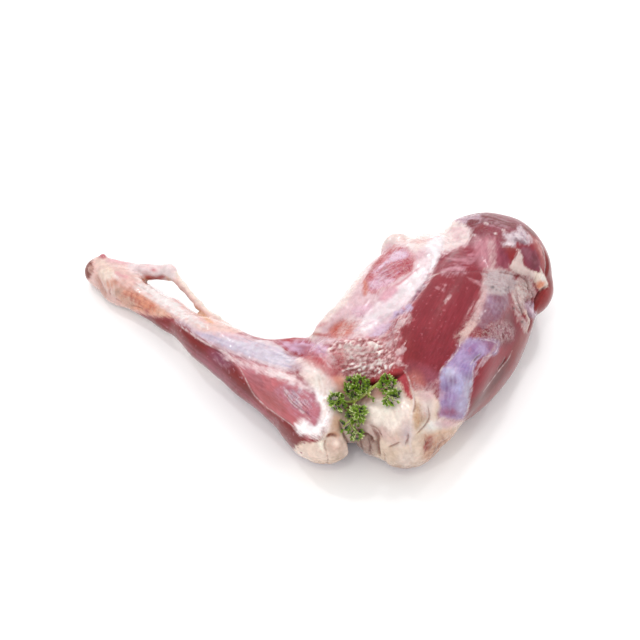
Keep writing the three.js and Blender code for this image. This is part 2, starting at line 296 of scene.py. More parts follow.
FAR = 14.0  # beyond this many millimetres outside a drawn shape, nothing is worked out
GLOSS_VEIL = 0.034  # light that the wet surface mirrors whatever its colour
STUDIO_LIGHT = 1.46  # light that falls on the meat, against a white card's
DARKEST, PALEST = 0.012, 0.9  # pigments
SEAM_REACH = 3.0  # covers that come this close to each other run together
SEEN_FROM, SEEN_WHOLE = -0.5, -0.15  # how far the skin may turn from the camera and still be drawn on
NOISE_GAIN = 1.8  # brings the noise to about -1 to 1
WRINKLE_FADE = 4.0  # millimetres over which wrinkles fade at a shape's edge
LACE_FADE = 3.0
STREAK_SWAY = 0.25  # millimetres by which a streak wanders
STREAK_PLACES = (0.1, 0.9)  # within its own strip of the comb
STREAK_LENGTHS = (0.45, 1)  # as shares of the whole
STREAK_WIDTHS = (0.6, 1.3)
STREAK_SHARES = (0.5, 1)
ACROSS = np.array([0, math.sin(VIEW_RISE), math.cos(VIEW_RISE)])
placed = points + LAID
face_uv = np.stack([placed[:, 0], placed @ ACROSS], 1)
facing = out @ np.array(TO_CAMERA)
chance = np.random.default_rng(7)


def smooth(value, low, high):
    """0 below low, 1 above high, and a soft step between them."""
    share = np.clip((value - low) / (high - low), 0, 1)
    return share * share * (3 - 2 * share)


seen = smooth(facing, SEEN_FROM, SEEN_WHOLE)


def grown(scale, seed, stretch=1.0, heading=0.0):
    """Noise over the leg, about -1 to 1, in lumps this long in millimetres, drawn out along a heading."""
    at = belly_place(placed, (0, 0, 0), heading) / scale / np.array([stretch, 1, 1])
    shift = Vector((seed, seed, seed))
    return np.array([NOISE_GAIN * noise.noise(Vector(p) + shift) for p in at])


lumps_large = grown(26, 3.1)
lumps_middle = grown(9, 7.7)
lumps_small = grown(3.6, 12.3)
lumps_fine = grown(2.2, 5.9)
folds = grown(2.1, 31.0, 1.7, 20) + 0.3 * lumps_fine  # of the wet membrane over the calf
edge_lumps = 0.7 * lumps_small + 0.8 * lumps_middle


def drawn_line(corners, closed=False, steps=5):
    """A smooth line through its corners."""
    c = np.array(corners, float)
    count = len(c) if closed else len(c) - 1
    ends = c if closed else np.vstack([2 * c[0] - c[1], c, 2 * c[-1] - c[-2]])
    line = []
    for i in range(count):
        p, q, r, s = [ends[(i + k - closed) % len(ends)] for k in range(4)]
        for t in np.arange(steps) / steps:
            bend = (2 * p - 5 * q + 4 * r - s) * t * t + (3 * q - p - 3 * r + s) * t**3
            line.append(0.5 * (2 * q + (r - p) * t + bend))
    return np.array(line + [line[0] if closed else c[-1]])


def near_drawing(line):
    """The vertices that a line's drawing can reach."""
    low, high = line.min(0) - FAR, line.max(0) + FAR
    return np.flatnonzero(((face_uv > low) & (face_uv < high)).all(1) & (seen > 0))


def off_segment(at, a, b):
    """How far along the segment each point lies, 0 to 1, and how far off it."""
    along = np.clip((at - a) @ (b - a) / max((b - a) @ (b - a), 1e-9), 0, 1)
    return along, np.linalg.norm(at - a - along[:, None] * (b - a), axis=1)


def stroke_along(line, half_width, ends):
    """The reach of a stroke, which thins to this share of its half width at its ends."""
    near = near_drawing(line)
    at = face_uv[near]
    share = np.linspace(-1, 1, len(line))
    width = half_width * (ends + (1 - ends) * np.sqrt(np.clip(1 - share**4, 0, 1)))
    best = np.full(len(near), -FAR)
    for a, b, w0, w1 in zip(line, line[1:], width, width[1:]):
        along, off = off_segment(at, a, b)
        best = np.maximum(best, w0 + (w1 - w0) * along - off)
    reach = np.full(len(face_uv), -FAR)
    reach[near] = best
    return reach


def stroke(corners, half_width, ends=0.35):
    return stroke_along(drawn_line(corners), half_width, ends)


def patch(corners):
    """The reach of a patch with a smooth outline."""
    line = drawn_line(corners, closed=True)
    near = near_drawing(line)
    at = face_uv[near]
    edge = np.full(len(near), FAR)
    inside = np.zeros(len(near), bool)
    for a, b in zip(line, line[1:]):
        edge = np.minimum(edge, off_segment(at, a, b)[1])
        if a[1] != b[1]:
            beside = at[:, 0] < a[0] + (at[:, 1] - a[1]) * (b[0] - a[0]) / (b[1] - a[1])
            inside ^= ((a[1] > at[:, 1]) != (b[1] > at[:, 1])) & beside
    reach = np.full(len(face_uv), -FAR)
    reach[near] = np.where(inside, edge, -edge)
    return reach


def spot(middle, half, turn=0):
    """The reach of a round or oval spot."""
    angle = math.radians(turn)
    u, v = (face_uv - np.array(middle, float)).T
    across = np.hypot(
        (u * math.cos(angle) + v * math.sin(angle)) / half[0],
        (v * math.cos(angle) - u * math.sin(angle)) / half[1],
    )
    return np.where(seen > 0, np.maximum((1 - across) * min(half), -FAR), -FAR)


def tone(red, green, blue):
    """The pigment that looks this colour, 0 to 255, under the studio light."""
    light = [((c / 255 + 0.055) / 1.055) ** 2.4 for c in (red, green, blue)]
    return np.clip((np.array(light) - GLOSS_VEIL) / STUDIO_LIGHT, DARKEST, PALEST)


vertex_count = len(points)
flesh = np.tile(tone(157, 66, 74), (vertex_count, 1))  # colour of the bare meat
cover = np.tile(tone(226, 200, 204), (vertex_count, 1))  # colour of the fat, film or sinew on it
hiding = np.full(vertex_count, 0.9)  # how well that cover hides the meat
cover_edge = np.full(vertex_count, -FAR)  # reach of the cover
softness = np.full(vertex_count, 1.5)  # millimetres over which the cover's edge fades
pale_line = np.full(vertex_count, -FAR)
# reach of the painted shade at the bottom of creases
crease_shade_line = np.full(vertex_count, -FAR)
relief = np.zeros(vertex_count)  # millimetres
wrinkled = np.zeros(vertex_count)  # how finely creased the surface is, 0 to 1
lacy = np.zeros(vertex_count)  # how finely torn its cover is, 0 to 1


def share_of(reach, soft):
    return smooth(reach + 0.5 * lumps_small, -soft, soft) * (reach > -FAR)


def stain(reach, colour, soft=2.5, share=1.0):
    """Tints the bare meat."""
    flesh[:] += (tone(*colour) - flesh) * (share_of(reach, soft) * share)[:, None]


def stain_cover(reach, colour, soft=2.5, share=1.0):
    """Tints the cover that is already there."""
    cover[:] += (tone(*colour) - cover) * (share_of(reach, soft) * share)[:, None]


def tint(reach, colour, soft=2.5, share=1.0):
    """Tints the meat and what covers it."""
    stain(reach, colour, soft, share)
    stain_cover(reach, colour, soft, share)


def comb(first, last, count, colour, half_width=0.6, share=0.6, soft=0.9):
    """Fine streaks side by side between two lines with the same number of corners, none quite whole."""
    first, last = drawn_line(first), drawn_line(last)
    for streak in range(count):
        across = (streak + chance.uniform(*STREAK_PLACES)) / count
        line = first + (last - first) * across + chance.normal(0, STREAK_SWAY, first.shape)
        length = int(len(line) * chance.uniform(*STREAK_LENGTHS))
        start = chance.integers(0, len(line) - length + 1)
        width = half_width * chance.uniform(*STREAK_WIDTHS)
        reach = stroke_along(line[start:start + length], width, ends=0.1)
        tint(reach, colour, soft, share * chance.uniform(*STREAK_SHARES))


def lay(reach, colour, soft=1.8, hides=0.9, raised=0.0, ragged=1.0):
    """Lays a cover of fat, film or sinew, which stands up from the meat by so many millimetres."""
    near = reach > -FAR
    reach = np.where(near, reach + ragged * edge_lumps, -FAR)
    amount = smooth(reach - np.minimum(cover_edge, 0), -soft, soft) * near
    cover[:] += (tone(*colour) - cover) * amount[:, None]
    hiding[:] += (hides - hiding) * amount
    softness[:] += (soft - softness) * amount
    cover_edge[:] = np.where(near, -blended(-cover_edge, -reach, SEAM_REACH), cover_edge)
    relief[:] += raised * smooth(reach, -0.5, 2)


def open_cover(reach, ragged=1.0):
    """Takes the cover away again."""
    reach = np.where(reach > -FAR, reach + ragged * 0.8 * lumps_small, -FAR)
    cover_edge[:] = np.minimum(cover_edge, -reach)


def crumbs(region, pattern, above, colour, hides=0.85, raised=0.4):
    """Lays crumbs of fat where a pattern of lumps is high; the whitest over the membrane are painted glints.
    """
    lay(np.minimum(region, (pattern - above) * 3), colour, 0.8, hides, raised, 0)


def swell(reach, height, over):
    """Raises or sinks the surface inside a shape, over so many millimetres from its edge."""
    relief[:] += height * smooth(reach, 0, over)


def crease(corners, half_width, depth, bottom_shade=0.6):
    """A crease sunk into the surface, with painted shade along its bottom."""
    reach = stroke(corners, half_width)
    crease_shade_line[:] = np.maximum(crease_shade_line, reach - (1 - bottom_shade) * half_width)
    swell(reach + half_width, -depth, 2 * half_width)


def pale(corners, half_width, raised=0.2, ends=0.2):
    """A thin line of fat or sinew."""
    reach = stroke(corners, half_width, ends)
    pale_line[:] = np.maximum(pale_line, reach)
    swell(reach, raised, half_width)


def wrinkle(reach, amount):
    """Creases the surface finely."""
    share = smooth(reach, -WRINKLE_FADE, WRINKLE_FADE) * (reach > -FAR)
    wrinkled[:] = np.maximum(wrinkled, share * amount)


def lace(reach, amount):
    """Tears what covers the meat into fine threads and white crumbs, which are partly painted glints, with
    dark gaps.
    """
    share = smooth(reach + lumps_middle, -LACE_FADE, LACE_FADE) * (reach > -FAR)
    lacy[:] = np.maximum(lacy, share * amount)


def each(make, rows):
    """Makes a comb, crease or pale line of every row."""
    for row in rows:
        make(*row)


def patches(paint, rows):
    """Paints patches: their corners, and what the paint takes."""
    for corners, *look in rows:
        paint(patch(corners), *look)


def strokes(paint, rows):
    """Paints strokes: their corners and half width, and what the paint takes."""
    for corners, half_width, *look in rows:
        paint(stroke(corners, half_width), *look)


def spots(paint, rows):
    """Paints spots: their middle, half their length and width, their turn, and what the paint takes."""
    for middle, half, turn, *look in rows:
        paint(spot(middle, half, turn), *look)


# ---------- thigh ----------
# The smooth red topside lies between the groin's fat and a seam of fat, behind which come a grey
# film, the silverskin that runs down to the knee, and the flank. The knife has left the films torn
# at their edges, and a window of bare muscle in the fat of the groin.

TOPSIDE = [(101, 94), (115, 98), (130, 101), (142, 91), (139, 76), (134, 63), (126, 41), (116, 25),
           (113, 16), (102, 2), (98, -9), (89, -12), (80, -10), (74, -1), (68, 11), (67, 21), (68, 33),
           (74, 46), (81, 57), (90, 69), (95, 80)]
UPPER_TOPSIDE = [(103, 95), (115, 99), (124, 102), (129, 105), (134, 112), (135, 96), (137, 84), (125, 80),
                 (112, 81), (103, 81), (97, 82)]
TOPSIDE_TIP = [(74, 7), (86, 4), (99, -4), (97, -12), (88, -18), (78, -14), (73, -4)]
TOPSIDE_FRINGE = [(77, -7), (86, -12), (97, -9), (96, -17), (86, -21), (78, -20)]
SILVERSKIN = [(119, 24), (128, 25), (138, 25), (147, 23), (145, 13), (131, 10), (126, 3), (124, -9),
              (122, -20), (120, -31), (116, -39), (106, -39), (98, -38), (96, -30), (98, -14), (99, -3),
              (104, 5), (112, 14)]
GREY_FILM = [(140, 77), (137, 62), (132, 51), (127, 39), (132, 33), (142, 34), (152, 43), (159, 53),
             (161, 66), (156, 76)]
GREY_TOP = [(139, 78), (152, 80), (165, 77), (176, 70), (176, 60), (162, 60), (150, 61), (139, 65)]
MAGENTA_MUSCLE = [(135, 30), (147, 36), (159, 49), (164, 41), (166, 28), (160, 20), (149, 19), (139, 22)]
FLANK = [(134, -17), (145, -2), (158, 13), (164, 23), (178, 30), (186, 31), (179, 13), (165, -5), (151, -21),
         (137, -35), (123, -44), (124, -26)]
FLANK_RIM = [(160, 16), (167, 27), (178, 38), (187, 42), (181, 24), (172, 6), (162, -8), (148, -22),
             (134, -34), (122, -42), (129, -30), (144, -15), (156, 1)]
GROIN = [(-4, 25), (1, 35), (10, 46), (20, 57), (27, 67), (36, 81), (45, 98), (56, 111), (66, 119),
         (78, 116), (92, 112), (108, 120), (122, 129), (130, 122), (131, 112), (127, 104), (115, 98),
         (101, 93), (95, 80), (89, 68), (80, 55), (73, 44), (64, 38), (56, 31), (46, 25), (28, 20), (13, 20),
         (3, 19)]
LOWER_GROIN = [(20, 18), (36, 24), (48, 26), (56, 32), (64, 40), (70, 46), (71, 38), (67, 28), (66, 14),
               (69, 4), (60, 3), (50, 9), (36, 16)]
WINDOW = [(41, 64), (42, 74), (48, 85), (55, 94), (63, 99), (72, 101), (79, 96), (83, 87), (80, 79),
          (70, 74), (60, 68), (50, 62)]
WINDOW_ARC = [(40, 64), (43, 74), (49, 84), (56, 92), (63, 98), (73, 100)]
WINDOW_HIGH = [(48, 80), (54, 86), (60, 92), (66, 97), (74, 98), (78, 93), (68, 90), (59, 86), (53, 81)]
WINDOW_LOW = [(44, 70), (50, 76), (58, 76), (66, 73), (60, 69), (54, 66), (48, 65)]
FAT_BAND = [(104, 108), (98, 96), (91, 84), (83, 72), (73, 62), (61, 52), (50, 43), (40, 33)]
FAT_EDGE = [(99, 92), (94, 79), (87, 66), (78, 54), (70, 45)]
OUTER_RIM = [(-2, 27), (6, 38), (14, 48), (23, 55), (28, 65), (35, 76), (43, 88), (55, 103), (64, 114),
             (72, 113), (82, 108), (92, 107), (104, 115), (114, 119), (123, 126)]
TOP_FAT = [(58, 106), (66, 113), (76, 112), (88, 108), (98, 108), (112, 118), (122, 126), (129, 120),
           (131, 111), (126, 104), (114, 99), (102, 95), (90, 91), (82, 96), (73, 103), (65, 103)]

# bare muscle and its fibres
patches(stain, [
    (TOPSIDE, (150, 55, 72), 4), (UPPER_TOPSIDE, (152, 62, 76), 5), (TOPSIDE_TIP, (170, 96, 110), 4),
    (FLANK, (118, 25, 35), 4), (FLANK_RIM, (150, 58, 62), 4), (MAGENTA_MUSCLE, (136, 56, 72), 4),
    (LOWER_GROIN, (172, 82, 90), 5), (GROIN, (214, 138, 144), 4),
])
stain(spot((75, 12), (8, 24), 15), (146, 58, 66), 6, 0.6)
stain(spot((78, -12), (9, 11)), (206, 124, 118), 4)
each(comb, [
    ([(104, 76), (96, 50), (84, 12), (84, -8)], [(136, 76), (124, 46), (108, 16), (94, -6)], 14,
     (172, 82, 92), 0.8, 0.3, 1.4),
    ([(100, 60), (90, 34), (80, 10)], [(128, 60), (116, 34), (100, 10)], 8, (142, 52, 64), 0.8, 0.3, 1.4),
    ([(104, 84), (116, 84), (132, 84)], [(128, 106), (132, 106), (135, 106)], 9, (206, 136, 148), 0.6, 0.5),
    ([(106, 82), (118, 88), (130, 100)], [(118, 80), (128, 84), (134, 92)], 6, (144, 62, 80), 0.6, 0.5),
])
crumbs(patch(TOPSIDE), lumps_fine, 0.8, (190, 100, 110), 0.35, 0)
comb([(140, -22), (152, -6), (164, 12)], [(150, -18), (162, -2), (172, 16)], 9, (142, 64, 72), 0.6, 0.4)

# grey film behind the seam
lay(patch(GREY_FILM), (156, 116, 130), 3, 0.8, 0.3)
lay(patch(GREY_TOP), (204, 186, 188), 3, 0.75, ragged=2.4)
stain_cover(spot((148, 50), (10, 12), 30), (150, 112, 130), 4)
stain_cover(spot((141, 56), (2.5, 9), 20), (180, 160, 190), 3, 0.6)
comb([(138, 72), (136, 56), (132, 40)], [(156, 70), (154, 54), (142, 38)], 9, (190, 164, 178), 0.6, 0.45)
lay(patch([(142, 34), (152, 37), (160, 32), (157, 25), (147, 24), (136, 26)]), (190, 134, 146), 3, 0.45,
    ragged=3)

# silverskin down to the knee
lay(patch(SILVERSKIN), (180, 158, 196), 2, 0.94, 0.3, 0.6)
patches(lace, [
    ([(128, 30), (142, 36), (154, 39), (163, 31), (157, 23), (146, 22), (130, 24)], 0.75),
    (LOWER_GROIN, 0.4),
    ([(14, 26), (20, 40), (34, 48), (46, 42), (40, 28), (26, 22)], 0.45), (GREY_TOP, 0.25),
    (TOPSIDE_FRINGE, 0.5), (WINDOW, 0.55),
])
for middle, half, turn, colour in [
    ((110, -9), (9, 12), 60, (196, 190, 230)), ((112, 8), (7, 12), -30, (190, 168, 212)),
    ((105, -21), (6, 7), 0, (178, 150, 196)), ((106, -32), (7, 3), 0, (172, 112, 140)),
    ((139, 19), (8, 5), 0, (164, 108, 142)), ((121, -14), (4, 12), 0, (208, 200, 212)),
    ((126, 16), (7, 5), 0, (168, 132, 180)), ((106, -2), (5, 4), 0, (214, 212, 240)),
    ((120, -4), (2.5, 8), 10, (160, 140, 166)), ((108, -8), (4, 3), 0, (150, 124, 156)),
    ((104, -14), (3, 5), 0, (152, 124, 172)), ((115, -27), (4, 6), 0, (206, 196, 226)),
    ((118, 2), (4, 5), 40, (160, 134, 190)), ((133, 17), (4, 4), 0, (200, 176, 214)),
]:
    stain_cover(spot(middle, half, turn), colour, 3.5)
comb([(122, 22), (104, 2), (101, -16), (100, -34)], [(140, 20), (126, 2), (122, -14), (118, -34)], 10,
     (214, 208, 238), 0.6, 0.4)
comb([(120, 20), (104, 4), (102, -16)], [(138, 18), (125, 4), (120, -14)], 8, (158, 122, 172), 0.7, 0.4)
stain_cover(stroke([(118, -37), (121, -28), (122, -18), (123, -8)], 1.4), (214, 210, 230), 1.5)
lay(stroke([(147, 22), (138, 12), (130, 4), (126, -4)], 1.2), (216, 186, 196), 1.4, 0.6)
lay(stroke([(96, -37), (107, -42), (119, -41)], 2.2), (242, 214, 212), 3.5, 0.85)

# fat over the groin
lay(patch(GROIN), (243, 214, 220), 2.5, 0.8, ragged=1.5)
lay(patch(LOWER_GROIN), (218, 142, 148), 3, 0.4, ragged=3)
crumbs(patch(LOWER_GROIN), folds + 0.5 * lumps_middle, 0.4, (254, 218, 220), 0.8)
# darker red where the folds sink between the crumbs: the meat's own colour, deepened by painted shade
stain(np.minimum(patch(LOWER_GROIN), (-0.3 - folds) * 3), (146, 52, 58), 1)
lay(patch([(32, 50), (38, 52), (46, 52), (52, 49), (45, 44), (38, 41), (31, 45)]), (242, 204, 220), 2.5, 0.9)
lay(patch(TOP_FAT), (252, 232, 230), 2.5, 0.96, 0.5)
lay(stroke(OUTER_RIM, 4.5, 0.7), (252, 234, 228), 2.5, 0.9, 0.3)
lay(stroke(FAT_BAND, 7.5, 0.55), (264, 254, 258), 2.6, 0.97, 0.6, 0.6)
lay(stroke([(70, 84), (82, 84), (94, 88)], 4), (252, 232, 236), 3, 0.9)
each(comb, [
    ([(84, 98), (76, 76), (60, 60), (40, 50), (24, 42)], [(98, 84), (84, 64), (68, 48), (50, 34), (32, 24)],
     16, (232, 176, 190), 0.6, 0.35, 1.1),
    ([(80, 92), (74, 76), (60, 62), (44, 54)], [(96, 92), (84, 66), (66, 48), (46, 34)], 14, (255, 244, 246),
     0.7, 0.6, 1.1),
    ([(64, 106), (84, 103), (104, 107)], [(70, 111), (90, 106), (112, 114)], 5, (236, 190, 190), 0.7, 0.5),
    ([(112, 116), (120, 118), (128, 118)], [(116, 102), (124, 106), (130, 112)], 8, (238, 190, 200), 0.8,
     0.6),
])
stain_cover(spot((89, 93), (6, 3.5), 30), (228, 188, 196), 3, 0.9)
stain_cover(stroke([(64, 66), (74, 73), (86, 82)], 0.9), (212, 124, 138), 1.2, 0.8)
stain_cover(patch([(52, 57), (58, 64), (66, 67), (68, 64), (64, 59), (56, 54)]), (240, 186, 200), 2)
lay(patch([(105, 81), (114, 84), (124, 81), (123, 76), (112, 75), (105, 76)]), (206, 160, 170), 3, 0.35,
    ragged=2)
lay(patch(TOPSIDE_FRINGE), (224, 176, 180), 3, 0.5, ragged=3)

# window of bare muscle in the groin's fat
open_cover(patch(WINDOW), 1.5)
stain(patch(WINDOW), (208, 112, 124), 3)
stain(spot((70, 84), (11, 6), 15), (196, 88, 102), 3)
stain(stroke(WINDOW_ARC, 1.4), (186, 66, 74), 1.4)
swell(patch(WINDOW), -1.4, 4)
lay(patch(WINDOW_HIGH), (244, 212, 236), 2, 0.85)
lay(patch(WINDOW_LOW), (244, 204, 226), 2, 0.75, ragged=1.5)
comb([(46, 76), (58, 84), (74, 92)], [(52, 70), (66, 77), (80, 84)], 11, (240, 206, 228), 0.6, 0.75)
comb([(46, 78), (58, 86), (76, 94)], [(52, 70), (66, 76), (80, 82)], 9, (176, 70, 82), 0.5, 0.7)
tint(stroke([(41, 60), (42, 66), (41, 72)], 1.6), (216, 130, 116), 2)
# painted shade: an orange-brown shadow in the lower left of the groin's fat
tint(patch([(12, 30), (16, 36), (24, 39), (31, 37), (30, 29), (22, 25), (15, 26)]), (208, 102, 78), 3, 0.85)
tint(stroke([(-14, 28), (0, 28), (12, 27), (22, 28)], 1.0), (196, 92, 78), 1.5, 0.8)
comb([(96, 80), (91, 69), (82, 57), (75, 46)], [(93, 81), (88, 70), (79, 58), (71, 47)], 7, (136, 62, 96),
     0.3, 0.5)
comb([(14, 28), (18, 36), (27, 42)], [(24, 23), (32, 31), (40, 39)], 9, (196, 92, 84), 0.6, 0.6)
comb([(14, 22), (20, 34), (30, 46)], [(34, 22), (42, 30), (50, 40)], 8, (250, 230, 228), 0.6, 0.6)

# torn fringe of the groin's fat
lay(patch([(61, 41), (69, 48), (76, 53), (78, 49), (70, 44), (63, 40)]), (214, 194, 226), 1.5, 0.9)
lay(patch([(43, 26), (50, 32), (57, 37), (62, 36), (59, 31), (51, 26)]), (226, 202, 226), 1.8, 0.85)
comb([(30, 30), (46, 38), (60, 44)], [(44, 22), (56, 30), (68, 36)], 7, (236, 206, 222), 0.6, 0.6)
comb([(28, 26), (44, 24), (60, 30)], [(48, 12), (60, 14), (72, 24)], 9, (240, 206, 208), 0.6, 0.6)
for middle, half in [
    ((70, 37), (6, 2.2)), ((58, 20), (5, 3.4)), ((64, 30), (4, 1.6)), ((50, 18), (4, 1.8)),
    ((43, 23), (4, 1.8)), ((36, 25), (4, 2)), ((67, 15), (3, 1.8)),
]:
    lay(spot(middle, half, 30), (240, 208, 210), 1.4, 0.8, 0, 1.2)
    swell(spot(middle, (half[0] + 0.8, half[1] + 0.8), 30), 1.2, 2.5)
for place in [(95, 77), (91, 70), (84, 61), (79, 54), (72, 49), (106, 68), (99, 66), (104, 64)]:
    lay(spot(place, (1.1, 0.9)), (228, 170, 178), 1, 0.7, 0, 0.2)
for place in [(72, 47), (68, 44), (146, 66), (152, 70), (158, 64), (150, 72), (104, 90), (112, 88)]:
    tint(spot(place, (1.5, 0.9), 30), (126, 60, 84), 1, 0.7)
patches(wrinkle, [(LOWER_GROIN, 0.5), (TOPSIDE_FRINGE, 0.5), (GREY_TOP, 0.5), (WINDOW, 0.35)])
lace(stroke([(128, 42), (121, 32), (115, 24)], 5), 0.5)

# seam of fat, thin lines and creases
lay(stroke([(141, 78), (138, 62), (133, 51), (128, 41), (121, 30), (116, 22)], 2.4, 0.5), (222, 188, 188),
    2.2, 0.85, 0.2, 0.4)
stain_cover(stroke([(138, 76), (135, 61), (130, 50), (125, 40)], 1.0), (240, 214, 212), 1.2, 0.8)
comb([(127, 42), (119, 34), (110, 26)], [(134, 40), (126, 32), (118, 22)], 10, (236, 198, 190), 0.5, 0.8)
comb([(122, 76), (129, 73), (136, 70)], [(126, 72), (131, 69), (137, 66)], 5, (222, 160, 168), 0.5, 0.7)
comb([(102, 77), (112, 80), (126, 79)], [(102, 80), (112, 83), (126, 83)], 5, (222, 164, 176), 0.7, 0.6)
each(pale, [
    ([(116, 22), (112, 14), (106, 7), (100, 1), (98, -6)], 0.5), ([(92, 73), (100, 77), (108, 80)], 0.45),
    ([(134, -17), (145, -4), (156, 8), (160, 15)], 0.3), ([(122, 4), (126, 9), (131, 13)], 0.6, 0.4),
    ([(130, 10), (125, 4), (124, -8), (123, -17), (121, -27), (120, -34)], 0.35),
    ([(126, 24), (136, 24), (146, 20), (143, 13), (133, 10)], 0.35),
])
each(crease, [
    ([(125, 7), (128, 10), (132, 13)], 1.0, 1.0), ([(147, 0), (151, 4), (154, 9)], 0.9, 0.7),
    (FAT_EDGE, 1.0, 0.8, 0),
    ([(107, 79), (120, 79), (136, 80), (153, 79)], 1.4, 0.5, 0),
])

# ---------- hip ----------
# The end that was cut from the loin: dark lean meat under smears of white film, a fork of cream fat
# round the cut, the end of a bone in the edge and a loose flap of dark muscle hanging over the side.

HIP_LEAN = [(122, 124), (130, 131), (142, 135), (156, 134), (170, 129), (180, 120), (186, 108), (178, 103),
            (166, 104), (156, 101), (149, 105), (140, 104), (132, 100), (126, 106), (124, 116)]
HIP_PINK = [(133, 106), (140, 109), (150, 106), (150, 92), (148, 82), (138, 82), (134, 94)]
HIP_MAUVE = [(150, 106), (156, 101), (161, 91), (160, 80), (149, 80)]
HIP_TRIANGLE = [(154, 99), (162, 101), (169, 97), (164, 89), (160, 92)]
HIP_DARK = [(170, 99), (178, 100), (184, 95), (188, 86), (186, 79), (176, 84), (172, 92)]
HIP_WHITE = [(157, 113), (166, 112), (173, 119), (177, 114), (182, 107), (179, 102), (170, 105), (163, 99),
             (156, 102), (159, 107)]
HIP_EDGE = [(188, 106), (196, 98), (203, 86), (204, 68), (195, 68), (193, 83), (189, 96)]
HIP_FORK = [(168, 98), (173, 94), (172, 87), (177, 82), (184, 79), (184, 73), (176, 75), (168, 77),
            (161, 83), (165, 89)]
CUT_FAT = [(140, 78), (152, 80), (163, 78), (168, 74), (163, 66), (155, 62), (143, 63)]
EDGE_FAT = [(164, 70), (168, 76), (177, 75), (184, 68), (182, 58), (174, 52), (171, 44), (176, 38),
            (172, 30), (168, 38), (165, 48), (161, 60)]
CUT_BONE = [(183, 81), (187, 84), (191, 79), (196, 69), (193, 63), (187, 65), (183, 72)]
PURPLE_LUMP = [(174, 55), (181, 55), (186, 50), (185, 41), (178, 42), (173, 48)]
LOOSE_FLAP = [(185, 57), (191, 65), (199, 67), (203, 61), (200, 53), (189, 45), (183, 48)]

# bare muscle
patches(stain, [
    (HIP_LEAN, (144, 66, 80), 4), (HIP_PINK, (204, 138, 150), 5), (HIP_MAUVE, (166, 92, 106), 3),
    (HIP_TRIANGLE, (150, 58, 66), 1.5), (HIP_DARK, (142, 78, 92), 2.5), (HIP_EDGE, (146, 44, 54), 2),
    (LOOSE_FLAP, (156, 48, 56), 1.8),
])
spots(stain, [
    ((163, 92), (3, 2.4), 0, (156, 60, 66), 2), ((183, 88), (3, 4.5), 0, (118, 54, 70), 3),
    ((175, 96), (4, 3), 0, (150, 92, 104), 2), ((139, 119), (6, 3.4), 10, (146, 62, 72), 2),
])
stain(stroke([(176, 117), (182, 116), (185, 110)], 2.5), (128, 54, 66), 1.5)
stain(stroke([(180, 111), (187, 101), (191, 91), (191, 83)], 3), (180, 104, 104), 2)
each(comb, [
    ([(124, 124), (130, 129), (140, 131), (149, 130), (159, 127), (172, 122)], [(126, 116), (134, 119),
     (143, 122), (151, 120), (159, 117), (170, 112)], 13, (124, 44, 62), 0.9, 0.75),
    ([(124, 125), (130, 130), (140, 132), (149, 131), (159, 128), (170, 123)], [(126, 114), (134, 116),
     (143, 119), (151, 117), (159, 114), (168, 110)], 6, (216, 172, 188), 0.6, 0.5),
    ([(134, 112), (134, 100), (137, 85)], [(150, 112), (151, 99), (149, 83)], 12, (230, 178, 188), 0.6, 0.5,
     1.3),
    ([(133, 112), (136, 100), (140, 85)], [(154, 112), (152, 99), (148, 83)], 12, (152, 74, 90), 0.5, 0.5,
     1.3),
    ([(150, 110), (153, 96), (152, 82)], [(160, 106), (160, 92), (159, 82)], 8, (140, 68, 84), 0.7, 0.6),
    ([(106, 92), (120, 90), (134, 98)], [(124, 84), (132, 88), (138, 98)], 9, (212, 146, 160), 0.6, 0.5,
     1.2),
    ([(152, 118), (156, 110), (158, 102)], [(134, 120), (130, 112), (132, 104)], 8, (136, 56, 70), 0.8, 0.5),
    ([(180, 110), (187, 101), (190, 88)], [(184, 112), (190, 103), (194, 90)], 4, (222, 168, 164), 0.5, 0.7),
    ([(172, 100), (175, 92), (184, 84)], [(184, 98), (187, 90), (189, 82)], 6, (168, 110, 124), 0.6, 0.5),
])

# smears of white film
lay(patch([(122, 124), (129, 129), (138, 130), (143, 127), (137, 124), (128, 121)]), (220, 192, 208), 2.5,
    0.6, ragged=2.5)
lay(patch(HIP_WHITE), (228, 208, 216), 2, 0.85, 0.2, 1.2)
comb([(158, 112), (162, 106), (163, 100)], [(170, 114), (176, 108), (178, 103)], 7, (246, 234, 238), 0.6,
     0.7)
comb([(160, 112), (164, 106), (165, 101)], [(174, 113), (178, 107), (181, 103)], 5, (146, 116, 138), 0.6,
     0.6)
tint(stroke([(166, 107), (171, 105), (176, 103)], 1.5), (118, 84, 98), 1.5, 0.7)
lay(stroke([(146, 106), (147, 93), (146, 80)], 2), (226, 194, 192), 3, 0.6)
lay(stroke([(140, 81), (150, 80), (160, 79), (168, 80)], 2.2), (226, 202, 200), 2.5, 0.7)

# cut fat with the end of the bone
patches(lay, [
    (HIP_FORK, (234, 212, 206), 1.6, 0.92, 0.4, 0.6), (EDGE_FAT, (210, 178, 176), 2.6, 0.75, 0.3, 2.5),
    (CUT_FAT, (206, 190, 192), 2.5, 0.86, 0.2, 2.2),
])
patches(lace, [(EDGE_FAT, 0.45), (CUT_FAT, 0.18), (HIP_WHITE, 0.35), (HIP_LEAN, 0.22)])
stain_cover(spot((173, 67), (7, 4), 20), (232, 212, 206), 2)
stain_cover(spot((173, 60), (4, 4)), (214, 186, 184), 2)
comb([(161, 62), (165, 52), (170, 42)], [(168, 68), (173, 56), (176, 46)], 8, (244, 226, 220), 0.6, 0.7)
comb([(163, 62), (166, 50), (170, 40)], [(176, 72), (178, 58), (176, 44)], 9, (142, 92, 98), 0.5, 0.7)
comb([(166, 74), (174, 68), (180, 62)], [(162, 62), (168, 56), (176, 50)], 7, (244, 228, 222), 0.6, 0.6)
lay(patch(PURPLE_LUMP), (176, 142, 160), 1.6, 0.85, 0.9, 0.5)
stain_cover(spot((179, 47), (2.5, 2)), (226, 196, 214), 1.5)
